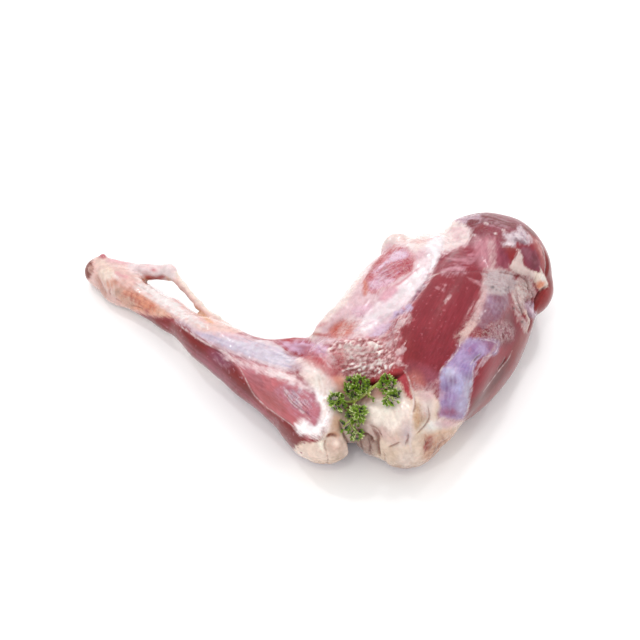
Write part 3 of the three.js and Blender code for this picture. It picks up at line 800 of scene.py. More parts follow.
lay(stroke([(172, 48), (177, 39), (174, 30)], 1.5), (226, 196, 186), 1.2, 0.9, 0.8, 0.4)
lay(patch(CUT_BONE), (250, 230, 216), 1.2, 0.97, 0.9, 0.3)
stain_cover(spot((188, 69), (3.2, 4.4), -60), (232, 150, 118), 2)
stain_cover(spot((190, 75), (2, 2.4)), (255, 250, 244), 1.5)

# the flap and two gaps in the film, bare again
patches(open_cover, [(LOOSE_FLAP, 0.5), (HIP_TRIANGLE, 0.5), (HIP_DARK, 1)])
for place in [(145, 121), (134, 111), (158, 115), (151, 112)]:
    lay(spot(place, (1.4, 1.1)), (244, 220, 220), 1, 0.85, 0.2, 0.2)
for place in [(148, 64), (151, 63), (155, 64), (158, 66), (145, 66), (169, 38), (163, 49)]:
    tint(spot(place, (1.1, 0.8)), (84, 56, 70), 0.9, 0.8)

# thin line, wrinkles and creases
pale([(186, 107), (192, 98), (194, 89), (193, 80)], 0.3)
wrinkle(patch(EDGE_FAT), 0.5)
wrinkle(patch(CUT_FAT), 0.4)
each(crease, [
    ([(152, 79), (160, 78), (168, 75)], 1.1, 1.0, 0.3),
    ([(183, 46), (185, 55), (189, 63), (195, 68)], 1.4, 2.6, 0.5),
    ([(175, 47), (179, 38), (176, 30)], 1.2, 1.6, 0.5), ([(184, 57), (178, 57), (173, 53)], 0.9, 1.0, 0.3),
    ([(191, 98), (195, 88), (194, 77)], 1.2, 1.2, 0.2), ([(184, 78), (183, 71), (186, 64)], 0.9, 1.0, 0.3),
    ([(171, 69), (177, 66), (183, 60)], 0.8, 0.8, 0.3),
    ([(166, 77), (173, 74), (177, 69), (178, 62)], 1.0, 1.2, 0.6),
    ([(166, 58), (169, 50), (172, 42)], 0.9, 1.0, 0.5), ([(181, 63), (182, 57), (178, 51)], 0.9, 1.0, 0.5),
])
swell(patch(HIP_FORK), 0.5, 3)

# ---------- knee ----------
# Two lobes of cream fat and gristle over the joint with a deep notch between them. A smooth pad caps
# the thigh bone, grey folds hang below it, and a thin cord of sinew runs down beside a pad of tan fat.

KNEE_FAT = [(4, -54), (10, -42), (9, -26), (6, -12), (12, -4), (22, -4), (30, -12), (43, -14), (54, -9),
            (66, -9), (76, -15), (84, -16), (94, -18), (98, -26), (97, -36), (108, -40), (118, -40),
            (124, -52), (106, -66), (93, -76), (78, -88), (62, -86), (49, -80), (35, -68), (30, -60),
            (23, -78), (11, -86), (-3, -84), (-18, -72), (-12, -58)]
LEFT_LOBE = [(6, -14), (14, -8), (22, -14), (24, -27), (23, -42), (28, -58), (22, -76), (10, -84), (-5, -81),
             (-18, -68), (-6, -54), (-1, -42), (4, -26)]
WHITE_PAD = [(38, -28), (44, -24), (53, -24), (64, -21), (71, -20), (75, -27), (76, -38), (75, -50),
             (70, -57), (62, -59), (56, -51), (49, -44), (42, -38)]
PAD_SHADE = [(72, -36), (75, -46), (70, -54), (62, -58), (56, -50), (64, -46)]
TAN_PAD = [(79, -27), (83, -25), (87, -30), (89, -36), (85, -41), (79, -45), (77, -39), (78, -32)]
GREY_FOLDS = [(32, -47), (41, -49), (48, -53), (51, -62), (48, -71), (40, -66), (31, -58)]
FOLD_LEAF = [(33, -44), (39, -40), (44, -40), (49, -44), (50, -50), (48, -53), (42, -49), (38, -47)]
LOW_SHADE = [(86, -50), (96, -48), (107, -47), (118, -47), (110, -62), (94, -76), (86, -72)]
RED_WEDGE = [(37, -11), (44, -3), (52, 2), (60, 4), (69, 1), (69, -3), (61, -7), (54, -10), (45, -14)]
RED_STRIP = [(66, -4), (70, -1), (74, -9), (76, -17), (77, -22), (73, -21), (70, -16)]
SALMON = [(10, 0), (17, 0), (25, -8), (27, -17), (22, -22), (16, -17), (11, -9)]
CORD = [(70, 0), (73, -4), (76, -13), (78, -21), (77, -29), (75, -37), (75, -48), (75, -58), (77, -66)]

# cream fat, its tints, painted shade and shadow, and painted highlights on the pads
lay(patch(KNEE_FAT), (248, 224, 204), 2.2, 0.97, 0.5, 0.8)
patches(stain_cover, [
    (LEFT_LOBE, (256, 232, 216), 5), (WHITE_PAD, (268, 250, 240), 4), (PAD_SHADE, (234, 208, 190), 4, 0.8),
    (GREY_FOLDS, (192, 164, 152), 3), (FOLD_LEAF, (226, 200, 190), 2), (TAN_PAD, (216, 178, 146), 2),
])
# The first stroke is painted shade between the left lobe's ridge and its nodule; the second is the ridge's
# cream fat, whitened by a painted highlight.
strokes(stain_cover, [
    ([(11, -51), (15, -49), (20, -51)], 1.4, (206, 140, 106), 1.5),
    ([(5, -46), (5, -54), (7, -62)], 2.2, (280, 270, 252), 1.2),
    ([(86, -27), (89, -35), (86, -43), (80, -50)], 1.2, (250, 226, 200), 1.5),
])
stain_cover(patch(LOW_SHADE), (222, 176, 150), 5)
stain_cover(patch(SALMON), (242, 172, 152), 4)
# Among these spots, (18, -41) is painted shade in the notch between the lobes, (28, -30) a painted shadow
# under the parsley, (3, -77) and (62, -80) painted shade along the knee's bottom edge, and (58, -34) and
# (94, -43) painted highlights on the pads.
spots(stain_cover, [
    ((14, -28), (9, 13), 0, (268, 246, 240), 6), ((18, -41), (5, 8), 0, (212, 172, 144), 4),
    ((18, -58), (7, 6), 0, (246, 212, 196), 4), ((3, -77), (24, 5), 0, (222, 182, 148), 4),
    ((20, -72), (5, 8), 0, (218, 190, 168), 4), ((58, -34), (13, 8), -20, (270, 258, 244), 5),
    ((62, -80), (24, 8), 0, (182, 144, 120), 5), ((58, -68), (9, 7), 0, (238, 212, 190), 5),
    ((72, -48), (4, 8), 0, (236, 214, 214), 4), ((73, -68), (7, 6), 0, (246, 226, 214), 4),
    ((94, -43), (9, 4.5), 8, (255, 252, 246), 3.5), ((62, -53), (6, 4), 0, (238, 206, 194), 3),
    ((104, -50), (10, 4), -10, (238, 200, 174), 4), ((89, -57), (3, 6), -20, (178, 84, 76), 1.6),
    ((88, -28), (6, 9), 0, (240, 220, 212), 4), ((89, -19), (9, 4), 0, (244, 206, 206), 4),
    ((104, -41), (8, 3), 0, (240, 200, 204), 3), ((55, -17), (8, 4), 0, (220, 160, 148), 4),
    ((40, -20), (8, 6), 0, (214, 168, 156), 5), ((64, -18), (4, 5), 0, (250, 236, 232), 3),
    ((28, -30), (5, 5), 0, (176, 138, 116), 4), ((100, -60), (12, 5), 35, (216, 164, 132), 4),
    ((54, -48), (5, 5), 0, (236, 204, 196), 3),
])
each(comb, [
    ([(0, -38), (6, -50), (12, -68)], [(20, -30), (20, -46), (22, -66)], 9, (206, 172, 152), 0.6, 0.4),
    ([(46, -26), (54, -36), (60, -46)], [(66, -24), (72, -34), (72, -46)], 6, (236, 206, 200), 0.7, 0.4),
    ([(80, -60), (92, -52), (106, -48)], [(92, -72), (104, -62), (116, -52)], 9, (234, 206, 190), 0.7, 0.5),
    ([(82, -50), (88, -60), (88, -72)], [(98, -48), (104, -58), (98, -70)], 9, (160, 108, 88), 0.6, 0.6),
    ([(52, -62), (60, -70), (70, -80)], [(76, -56), (80, -66), (84, -76)], 8, (206, 172, 150), 0.6, 0.4),
])

# slits of red meat
open_cover(patch(RED_WEDGE), 0.5)
open_cover(patch(RED_STRIP), 0.3)
stain(patch(RED_WEDGE), (186, 74, 78), 2.5)
# painted shade: the darkest red along the slit under the red wedge
stain(stroke([(40, -13), (54, -9), (62, -6), (70, -2)], 2), (124, 34, 42), 2)
stain(patch(RED_STRIP), (196, 82, 90), 2)
lay(stroke([(46, 1), (54, 4), (64, 6), (72, 4)], 1.2), (236, 194, 194), 1.4, 0.7)

# pads, folds and creases
patches(swell, [(WHITE_PAD, 3, 9), (FOLD_LEAF, 2.2, 2.5), (TAN_PAD, 1.4, 3)])
spots(swell, [
    ((18, -58), (5.5, 4.4), 15, 1.5, 3.4), ((46, -55), (3.5, 3.5), 0, 1.8, 3),
    ((8, -30), (10, 16), 0, 1.0, 7), ((64, -72), (16, 8), 0, 1.0, 5),
])
# painted highlight on the top of the left lobe's nodule
stain_cover(spot((17, -56), (3, 2)), (270, 244, 230), 2)
swell(stroke([(5, -46), (5, -54), (8, -62)], 2), 2, 2)
each(crease, [
    ([(10, -65), (11, -70), (10, -77)], 0.8, 1.0, 0.35), ([(10, -52), (13, -50), (18, -51)], 1.2, 2.2, 0.8),
    ([(9, -54), (8, -59), (10, -64)], 1.0, 1.6, 0.6),
    ([(22, -40), (25, -48), (29, -56), (31, -64), (31, -74)], 2.4, 4.2, 0.35),
    ([(33, -46), (38, -49), (43, -51), (48, -56)], 1.2, 2.4, 0.9),
    ([(46, -45), (50, -51), (50, -58), (52, -68)], 1.3, 2.4, 0.8),
    ([(44, -42), (50, -46), (53, -52)], 0.9, 1.4, 0.6), ([(42, -52), (44, -58), (44, -66)], 1.0, 1.6, 0.7),
    ([(35, -53), (37, -59), (39, -66)], 1.0, 1.4, 0.6), ([(58, -60), (62, -58), (67, -55)], 1.1, 1.8, 0.5),
    ([(71, -58), (73, -53), (73, -48)], 1.2, 2.0, 0.5), ([(54, -62), (56, -68), (58, -76)], 1.0, 0.9, 0.1),
    ([(40, -14), (45, -13), (54, -9), (62, -6), (70, -2)], 1.6, 2.6, 0.6),
    ([(78, -20), (79, -26), (77, -33)], 0.9, 1.2, 0.5),
    ([(89, -28), (90, -36), (86, -43), (80, -49)], 0.9, 1.2, 0.6),
    ([(81, -30), (84, -35), (82, -41)], 0.8, 0.6, 0.1), ([(86, -66), (88, -60), (86, -52)], 0.9, 0.8, 0.3),
    ([(96, -64), (98, -58), (104, -54)], 0.9, 0.8, 0.2),
])
pale(CORD, 0.7, 0.9, 0.3)
wrinkle(patch(GREY_FOLDS), 0.4)
wrinkle(patch(LOW_SHADE), 0.3)
lace(patch([(82, -50), (96, -52), (112, -50), (118, -56), (100, -70), (84, -74)]), 0.3)
lace(patch([(78, -27), (84, -26), (90, -34), (88, -44), (82, -48), (77, -40)]), 0.3)

# ---------- calf ----------
# Above the knee the calf's upper edge shows red muscle in lilac film, then lumps and a wet, wrinkled
# membrane that glitters where it is drawn tight over the meat, partly through painted glints.

CALF_RIDGE = [(-50, 27), (-35, 27), (-21, 28), (-8, 29), (4, 31), (14, 30), (20, 24), (14, 14), (4, 6),
              (-8, 8), (-20, 13), (-36, 19)]
RIDGE_LILAC = [(-25, 21), (-12, 21), (1, 20), (13, 19), (18, 14), (8, 10), (-6, 12), (-20, 15)]
MEMBRANE = [(12, 20), (25, 23), (38, 24), (51, 23), (60, 16), (63, 7), (58, 0), (44, -6), (32, -7), (20, -2),
            (12, 5)]
CALF_SIDE = [(-8, 16), (2, 15), (9, 12), (20, 15), (26, 10), (24, 2), (17, -6), (8, -4), (0, 3), (-8, 9)]
CALF_RED = [(6, 9), (14, 13), (24, 3), (24, -6), (16, -3), (8, 0)]

# muscle, lilac film and membrane
patches(stain, [(CALF_RIDGE, (178, 64, 72), 3), (CALF_RED, (188, 96, 98), 4), (MEMBRANE, (172, 84, 86), 4)])
lay(patch(RIDGE_LILAC), (234, 198, 226), 1.8, 0.9, ragged=1.4)
lay(patch(MEMBRANE), (262, 202, 208), 3, 0.5, 0.1, 2.5)
crumbs(patch(MEMBRANE), folds, 0.22, (264, 226, 226), 0.85, 0.5)
# painted glints: the whitest crumbs on the membrane's folds
crumbs(patch(MEMBRANE), folds + 0.5 * lumps_middle, 0.6, (290, 280, 274), 0.95, 0.4)
open_cover(np.minimum(patch(MEMBRANE), (-0.35 - folds) * 3), 0)
# darker red where the folds sink between the crumbs: the meat's own colour, deepened by painted shade
stain(np.minimum(patch(MEMBRANE), (-0.2 - folds) * 3), (150, 52, 58), 1)
# the first two strokes are painted highlights on the membrane
strokes(lay, [
    ([(22, 18), (34, 17), (46, 14)], 1.6, (255, 244, 238), 2, 0.8, 0.4, 2.5),
    ([(14, 12), (26, 10), (38, 7)], 1.4, (255, 240, 234), 2, 0.8, 0.4, 2.5),
    ([(-60, 31), (-40, 29), (-20, 30), (0, 33), (10, 37)], 1.6, (240, 200, 202), 2, 0.6),
])
lace(patch(MEMBRANE), 0.5)

# painted glints and dark threads, lumps and creases
each(comb, [
    ([(14, 18), (32, 20), (52, 18)], [(16, 2), (34, -2), (56, 2)], 5, (150, 66, 70), 0.9, 0.6, 1.4),
    # painted glints: white streaks over the membrane
    ([(18, 22), (34, 22), (54, 20)], [(20, 0), (38, -2), (58, 4)], 4, (255, 246, 240), 0.9, 0.7, 1.4),
    ([(-40, 25), (-20, 25), (0, 27)], [(-34, 19), (-16, 17), (4, 20)], 6, (232, 186, 200), 0.6, 0.5),
    ([(-24, 19), (-8, 19), (12, 18)], [(-18, 13), (-4, 12), (12, 12)], 6, (196, 132, 152), 0.6, 0.6),
    ([(8, 10), (18, 10)], [(12, -4), (24, -4)], 6, (238, 190, 184), 0.8, 0.5),
])
for middle, half in [
    ((20, 21), (4, 3)), ((29, 22), (4, 3)), ((38, 23), (4, 3)), ((47, 21), (4, 3)), ((30, 14), (5, 2.4)),
    ((41, 11), (5, 2.6)), ((23, 8), (4, 2.4)), ((52, 9), (4.5, 2.6)), ((34, 3), (5, 2.4)),
    ((46, 0), (4, 2.4)),
]:
    swell(spot(middle, half, 15), 1.2, 2.5)
wrinkle(patch(MEMBRANE), 0.9)
wrinkle(patch(CALF_RIDGE), 0.4)
each(crease, [
    ([(3, 18), (8, 14), (14, 14)], 0.8, 0.8, 0.3),
    ([(-24, 13), (-12, 11), (-2, 12), (6, 11)], 1.0, 0.8, 0), ([(18, 4), (30, 0), (44, -4)], 1.0, 0.8, 0.2),
])

# ---------- shank ----------
# Dark lean muscle below and a pearly sheath with grey-blue streaks above, parted by white lines of
# sinew. Towards the knee the sheath frays into a fan of fine streaks and runs out in cream fat.

SHIN_UPPER = [(-142, 43), (-127, 41), (-112, 35), (-103, 29), (-92, 22), (-82, 17), (-72, 13)]
SHIN_UNDER = [(-14, -72), (-30, -60), (-44, -46), (-62, -32), (-82, -14), (-103, 2), (-128, 22), (-142, 34)]
SHIN_LEAN = [*SHIN_UPPER, (-60, 9), (-48, 6), (-35, 3), (-22, -2), (-12, -8), (-2, -20), (4, -34),
             (0, -46), (-6, -56), *SHIN_UNDER]
SHIN_DARK = [*SHIN_UPPER, (-63, 2), (-59, -2), (-53, -12), (-48, -21), (-38, -30), (-26, -38),
             (-15, -45), (-6, -53), *SHIN_UNDER]
PEARL = [(-116, 40), (-104, 44), (-88, 38), (-69, 30), (-51, 25), (-36, 22), (-24, 15), (-12, 9), (-6, 2),
         (-16, -2), (-28, 0), (-40, 3), (-54, 8), (-68, 12), (-82, 18), (-94, 24), (-106, 33)]
PEARL_BRIGHT = [(-40, 14), (-28, 13), (-18, 8), (-16, 3), (-28, 4), (-40, 8)]
KNEE_SIDE = [(-14, 6), (-2, 8), (8, 4), (14, -5), (14, -17), (10, -31), (8, -46), (-2, -52), (-6, -44),
             (-1, -30), (-3, -16), (-10, -6)]
KNEE_WHITE = [(-1, -10), (6, -11), (13, -20), (13, -32), (9, -45), (3, -53), (-6, -52), (-15, -46),
              (-10, -38), (-5, -28), (-5, -16)]
STREAK_FAN = [(-30, -16), (-22, -10), (-10, -8), (0, -18), (5, -30), (2, -42), (-8, -38), (-19, -28)]

# lean muscle
stain(patch(SHIN_LEAN), (206, 118, 124), 3)
stain(patch(SHIN_DARK), (142, 46, 60), 2.5)
spots(stain, [
    ((-54, -19), (7, 4), -45, (128, 46, 56), 3.5), ((-17, -54), (10, 5), -45, (140, 52, 58), 4),
    ((-77, 8), (10, 6), -30, (152, 90, 108), 5),
])
comb([(-86, 14), (-80, 6), (-74, 0)], [(-70, 12), (-68, 4), (-66, -2)], 6, (214, 168, 178), 0.3, 0.6)
spots(stain, [
    ((-84, -2), (16, 5), -42, (156, 84, 102), 4), ((-34, -24), (12, 5), -38, (182, 100, 102), 4),
    ((-50, -4), (10, 5), -35, (196, 124, 132), 4),
])
comb([(-130, 38), (-104, 20), (-76, 0), (-48, -24), (-24, -44)], [(-128, 26), (-104, 6), (-76, -14),
     (-50, -34), (-26, -56)], 14, (180, 104, 118), 0.8, 0.5)
crumbs(patch(SHIN_DARK), lumps_fine, 0.85, (204, 150, 162), 0.45, 0)
comb([(-126, 38), (-100, 20), (-74, 2), (-50, -20)], [(-124, 26), (-100, 6), (-74, -12), (-48, -34)], 9,
     (118, 46, 56), 0.7, 0.4)
comb([(-62, 4), (-40, -2), (-16, -8)], [(-46, -16), (-30, -26), (-10, -40)], 12, (214, 150, 158), 0.7, 0.4)
comb([(-60, 2), (-40, -4), (-18, -12)], [(-50, -14), (-32, -24), (-12, -40)], 9, (148, 72, 78), 0.7, 0.45)

# pearly sheath and the knee's side
patches(lay, [
    (PEARL, (238, 214, 222), 2.2, 0.85, 0.3, 0.8), (KNEE_SIDE, (262, 240, 236), 4, 0.88, 0.2, 2),
    (KNEE_WHITE, (294, 284, 284), 4, 0.94, 0.2, 1.5),
])
tint(patch(CALF_SIDE), (202, 108, 112), 4, 0.75)
comb([(-2, 16), (6, 8), (14, 0)], [(4, 20), (14, 12), (20, 4)], 7, (250, 220, 224), 0.5, 0.7)
comb([(14, 14), (16, 4), (12, -4)], [(26, 10), (24, 2), (18, -6)], 6, (164, 70, 78), 0.6, 0.5)
lay(patch(STREAK_FAN), (204, 150, 170), 3, 0.4, ragged=1.6)
lace(patch([(-48, 24), (-30, 14), (-8, 0), (2, -14), (-6, -20), (-20, -8), (-40, 4), (-60, 14)]), 0.12)
stain_cover(patch([(-96, 30), (-76, 27), (-56, 21), (-36, 17), (-22, 12), (-16, 4), (-34, 6), (-54, 12),
    (-74, 19), (-92, 25)]), (230, 212, 232), 3)
stain_cover(patch(PEARL_BRIGHT), (246, 236, 248), 3)
stain_cover(spot((-14, 2), (5, 3)), (206, 180, 188), 3)
stain_cover(spot((2, -8), (7, 6), -40), (250, 234, 224), 4)

# streaks, creases and lines of sinew
each(comb, [
    ([(-104, 39), (-80, 32), (-56, 24), (-32, 17), (-16, 9)], [(-96, 27), (-76, 19), (-54, 11), (-34, 5),
     (-18, 1)], 14, (172, 158, 194), 0.7, 0.6),
    ([(-108, 41), (-84, 35), (-58, 27), (-34, 20), (-14, 9)], [(-96, 26), (-76, 18), (-54, 10), (-34, 3),
     (-18, 0)], 16, (255, 248, 252), 0.7, 0.5, 1.5),
    ([(-90, 40), (-66, 31), (-46, 25)], [(-92, 30), (-68, 23), (-48, 17)], 7, (236, 180, 188), 0.8, 0.5),
    ([(-70, 12), (-56, 8), (-40, 3)], [(-60, 2), (-50, -4), (-38, -8)], 7, (206, 140, 152), 0.8, 0.6),
    ([(-27, -14), (-16, -26), (-3, -38)], [(-14, -10), (-6, -18), (2, -27)], 12, (244, 226, 234), 0.4, 0.8,
     0.6),
    ([(-29, -16), (-17, -27), (-4, -39)], [(-14, -11), (-5, -20), (2, -29)], 10, (146, 96, 124), 0.4, 0.6,
     0.6),
    ([(-64, 8), (-44, 3), (-24, -2), (-10, -8)], [(-62, 2), (-42, -4), (-24, -10), (-10, -18)], 7,
     (244, 214, 218), 0.7, 0.5, 1.5),
    ([(0, 2), (4, -10), (4, -24), (2, -40)], [(12, 2), (13, -10), (12, -22), (8, -40)], 8, (226, 190, 178),
     0.7, 0.5),
    ([(-10, 0), (0, -8), (2, -20)], [(-2, 4), (8, -4), (10, -18)], 5, (255, 246, 242), 0.8, 0.6),
])
each(crease, [
    ([(-25, -15), (-18, -24), (-9, -31), (-1, -37)], 0.55, 0.4, 0.6),
    ([(-16, -19), (-9, -26), (-2, -33)], 0.4, 0.3, 0.4),
    ([(-112, 33), (-98, 23), (-86, 17), (-74, 11)], 1.2, 0.7, 0),
    ([(-13, -47), (-24, -40), (-36, -32)], 1.2, 0.6, 0),
])
each(pale, [
    ([(-24, -18), (-17, -26), (-9, -33), (-2, -39)], 0.5, 0.3),
    ([(-20, -17), (-13, -24), (-5, -31)], 0.4, 0.2),
    ([(-114, 36), (-103, 29), (-92, 22), (-82, 17), (-72, 13), (-65, 6)], 0.7),
    ([(-65, 6), (-59, -1), (-53, -12), (-48, -21), (-38, -30), (-26, -38), (-15, -45), (-6, -51)], 0.4),
    ([(-72, 13), (-60, 6), (-38, 0), (-23, -7), (-9, -14), (0, -19)], 0.3),
])
lay(stroke([(-76, 14), (-64, 6), (-47, 1), (-31, -4)], 1.6), (254, 224, 228), 2.5, 0.75)
# white sinew, whitened into a painted highlight on the wet shank near the knee
lay(stroke([(-36, -1), (-26, -4), (-14, -9), (-3, -16)], 2.2), (262, 246, 246), 2.5, 0.85)
wrinkle(patch(PEARL), 0.12)

# ---------- hock and heel ----------
# The stripped hock in cream and tan gristle with stripes of tendon, its cut end dark. The heel bone
# stands off behind it, and the heel tendon bridges back from its knob to the calf.

HOCK_GRISTLE = [(-200, 92), (-184, 98), (-163, 94), (-143, 92), (-122, 92), (-110, 80), (-96, 63), (-74, 44),
                (-60, 34), (-62, 28), (-80, 30), (-92, 30), (-103, 36), (-114, 40), (-131, 43), (-142, 44),
                (-158, 46), (-175, 50), (-192, 60), (-202, 78)]
HEEL_PINK = [(-163, 91), (-143, 89), (-126, 89), (-119, 82), (-123, 74), (-135, 74), (-143, 78), (-153, 79),
             (-162, 84)]
CUT_END = [(-203, 90), (-198, 94), (-194, 89), (-195, 78), (-201, 76)]
TAN_TOP = [(-187, 83), (-178, 85), (-173, 79), (-178, 72), (-186, 74)]
GREY_BAND = [(-190, 78), (-184, 76), (-178, 65), (-181, 57), (-187, 62)]
TAN_SIDE = [(-166, 66), (-149, 62), (-138, 56), (-131, 50), (-122, 42), (-131, 42), (-144, 45), (-158, 49),
            (-168, 56)]

# gristle and its shades
lay(patch(HOCK_GRISTLE), (246, 208, 200), 2, 0.96, 0, 0.6)
patches(stain_cover, [
    (HEEL_PINK, (252, 234, 234), 3), (TAN_TOP, (256, 234, 216), 3, 0.9), (GREY_BAND, (216, 170, 158), 3),
    (TAN_SIDE, (242, 160, 126), 4, 0.9),
])
lace(patch(TAN_SIDE), 0.2)
spots(stain_cover, [
    ((-184, 90), (6, 4), 0, (244, 218, 206), 3), ((-176, 71), (5, 4), 0, (230, 172, 152), 2.5),
    ((-169, 64), (5, 4.5), 0, (216, 176, 160), 2.5), ((-131, 46), (6, 4), -30, (244, 198, 178), 3),
    ((-160, 56), (8, 5), -20, (222, 182, 164), 3), ((-171, 77), (4, 1.6), -30, (255, 240, 238), 2),
    ((-140, 83), (2, 1.4), 0, (212, 112, 116), 1.6), ((-146, 74), (3.4, 2.6), 0, (234, 160, 120), 2),
    ((-143, 47), (2.2, 1.4), -30, (190, 92, 92), 1.2), ((-196, 66), (6, 6), 0, (222, 178, 168), 4),
    ((-122, 84), (4, 3), 0, (250, 226, 226), 2), ((-128, 56), (8, 4), -35, (252, 232, 232), 3),
])

# stripes of tendon
for corners, half_width, colour, soft in [
    ([(-182, 92), (-172, 91), (-162, 89)], 2.0, (246, 196, 202), 2),
    ([(-172, 81), (-166, 78), (-160, 76)], 1.3, (242, 180, 186), 1.5),
    ([(-156, 72), (-146, 66), (-138, 61)], 0.9, (196, 166, 160), 1.2),
    ([(-150, 56), (-141, 51), (-132, 46)], 1.4, (238, 164, 132), 1.6),
    ([(-143, 72), (-135, 66), (-128, 61)], 1.6, (222, 150, 164), 1.5),
    ([(-148, 78), (-138, 76), (-130, 77)], 1.8, (190, 96, 90), 1.8),
    ([(-128, 76), (-115, 62), (-98, 47), (-84, 37)], 1.4, (234, 176, 134), 1.6),
    ([(-120, 81), (-110, 69), (-94, 53), (-78, 42), (-62, 33)], 2.2, (252, 238, 226), 1.8),
]:
    stain_cover(stroke(corners, half_width), colour, soft, 0.9)
each(comb, [
    ([(-160, 80), (-142, 72), (-122, 60), (-104, 46), (-86, 38)], [(-156, 66), (-140, 58), (-124, 46),
     (-108, 38), (-90, 32)], 12, (236, 172, 176), 0.8, 0.65),
    ([(-158, 78), (-140, 70), (-120, 58), (-102, 45), (-84, 36)], [(-156, 66), (-140, 57), (-122, 46),
     (-106, 38), (-90, 30)], 14, (255, 248, 246), 0.8, 0.75),
    ([(-164, 64), (-150, 58), (-134, 50)], [(-164, 52), (-150, 48), (-136, 44)], 7, (214, 150, 130), 0.6,
     0.5),
    ([(-192, 86), (-186, 72), (-184, 60)], [(-178, 84), (-172, 72), (-170, 56)], 7, (252, 236, 230), 0.7,
     0.5),
    ([(-160, 90), (-144, 88), (-128, 88)], [(-158, 82), (-144, 80), (-130, 80)], 5, (240, 196, 200), 0.7,
     0.5),
])

# cut end, creases and knobs
open_cover(patch(CUT_END), 0.6)
stain(patch(CUT_END), (140, 78, 70), 2)
lay(spot((-196, 84), (2, 3)), (222, 180, 168), 1.2, 0.7)
lay(spot((-186, 96), (3.2, 2.4)), (206, 124, 134), 1.5, 0.9, 0.6)
each(crease, [
    ([(-158, 52), (-152, 51), (-146, 49)], 0.7, 0.6, 0.5),
    ([(-172, 58), (-169, 56), (-166, 54)], 0.8, 0.7, 0.5),
    ([(-176, 67), (-177, 64), (-176, 61)], 0.7, 0.5, 0.4),
    ([(-150, 76), (-147, 73), (-143, 71)], 0.8, 0.9, 0.5),
    ([(-158, 74), (-146, 66), (-132, 57)], 1.2, 0.6, 0), ([(-160, 84), (-150, 80), (-142, 79)], 1.4, 0.8, 0),
    ([(-164, 66), (-150, 60), (-136, 52)], 1.1, 0.5, 0),
    ([(-190, 78), (-184, 70), (-180, 62)], 1.0, 0.6, 0.1),
])
comb([(-186, 78), (-172, 66), (-152, 56)], [(-168, 82), (-156, 70), (-140, 60)], 7, (206, 136, 118), 0.4,
     0.5, 0.7)
comb([(-166, 60), (-148, 52), (-130, 44)], [(-158, 66), (-142, 58), (-122, 48)], 6, (188, 96, 84), 0.35, 0.7,
     0.7)
for middle, half, height in [
    ((-169, 64), (6, 5.5), 0.9), ((-169, 64), (2.4, 2.2), -1.2), ((-186, 95), (4, 3), 1.4),
    ((-171, 76), (5, 4), 0.8), ((-183, 84), (7, 6), 0.8),
]:
    swell(spot(middle, half), height, 3)
swell(stroke([(-154, 76), (-140, 66), (-120, 53)], 2.2), 0.6, 2)
wrinkle(patch(TAN_SIDE), 0.35)

# ---------- far side and underside ----------
# The far side and the underside go on in the same way as the side that shows: each muscle has its
# own red, fat lies in the seams between them, and films and fat cover the shank, the joint and parts
# of the thigh.

MUSCLE_REDS = [tone(152, 64, 73), tone(164, 76, 85), tone(144, 58, 66), tone(172, 90, 98)]
CUT_RED = tone(140, 46, 56)  # the hip end's cut face
FILM_LILAC = tone(206, 180, 204)
RIM_LILAC = tone(200, 166, 180)
SEAM_CREAM = tone(244, 224, 218)

belly_distances = np.array([belly_distance(points, at, half, turn) for name, at, half, turn in BELLIES])
nearest = np.argsort(belly_distances, axis=0)[:2]
seam = np.diff(np.take_along_axis(belly_distances, nearest, 0), axis=0)[0]
far = 1 - smooth(facing, -0.45, -0.1)
reds = np.array(MUSCLE_REDS)[nearest[0] % len(MUSCLE_REDS)] * (1 + 0.12 * lumps_middle[:, None])
flesh += (reds - flesh) * far[:, None]
shank_side = smooth(-placed[:, 0], 30, 75)
knee_side = smooth(-placed[:, 1], 55, 85) * smooth(-np.abs(placed[:, 0] - 50), -75, -45)
groin_side = smooth(placed[:, 1], 20, 50) * smooth(-placed[:, 0], -110, -70)
fat_side = np.maximum(np.maximum(shank_side, knee_side), groin_side)
films = 6 * (lumps_large + 0.7 * lumps_middle - 0.25)
seam_fat = 2.4 - 0.75 * seam + 1.2 * lumps_middle
far_cover = np.maximum(films, seam_fat) + 9 * fat_side + 0.8 * lumps_small
fatness = smooth(lumps_large * 0.4 + fat_side - 0.1 * seam, -0.5, 0.4)
far_tone = FILM_LILAC + (SEAM_CREAM - FILM_LILAC) * fatness[:, None]
cover_edge += (far_cover - cover_edge) * far
cover += (far_tone - cover) * far[:, None]
hiding += (0.65 + 0.28 * fatness - hiding) * far
softness += (2.5 - softness) * far
relief -= far * 1.4 * smooth(-seam, -3.5, 0)
rim_film = np.minimum(films, 3)
rim = smooth(-facing, -0.08, 0.1) * (1 - far) * (rim_film > cover_edge)
cover += (RIM_LILAC - cover) * rim[:, None]
hiding += (0.45 - hiding) * rim
cover_edge = np.where(rim > 0.5, rim_film, cover_edge)
cut_face = smooth(out[:, 0], 0.35, 0.75) * smooth(placed[:, 0], 165, 180) * smooth(-facing, -0.35, -0.1)
flesh += (CUT_RED * (1 + 0.2 * lumps_middle[:, None]) - flesh) * cut_face[:, None]
marbling = 8 * (0.09 - np.abs(lumps_large + 0.35 * lumps_middle))
marbled = np.maximum(np.minimum(cover_edge, 4 - 8 * cut_face), marbling)
cover_edge = np.where(cut_face > 0.4, marbled, cover_edge)
wrinkled = np.maximum(wrinkled, 0.4 * far * smooth(far_cover, 0, 4))

# ---------- the meat's own unevenness ----------
# No muscle is smooth: long shallow waves follow its fibres, and soft fat and films lie in small lumps.

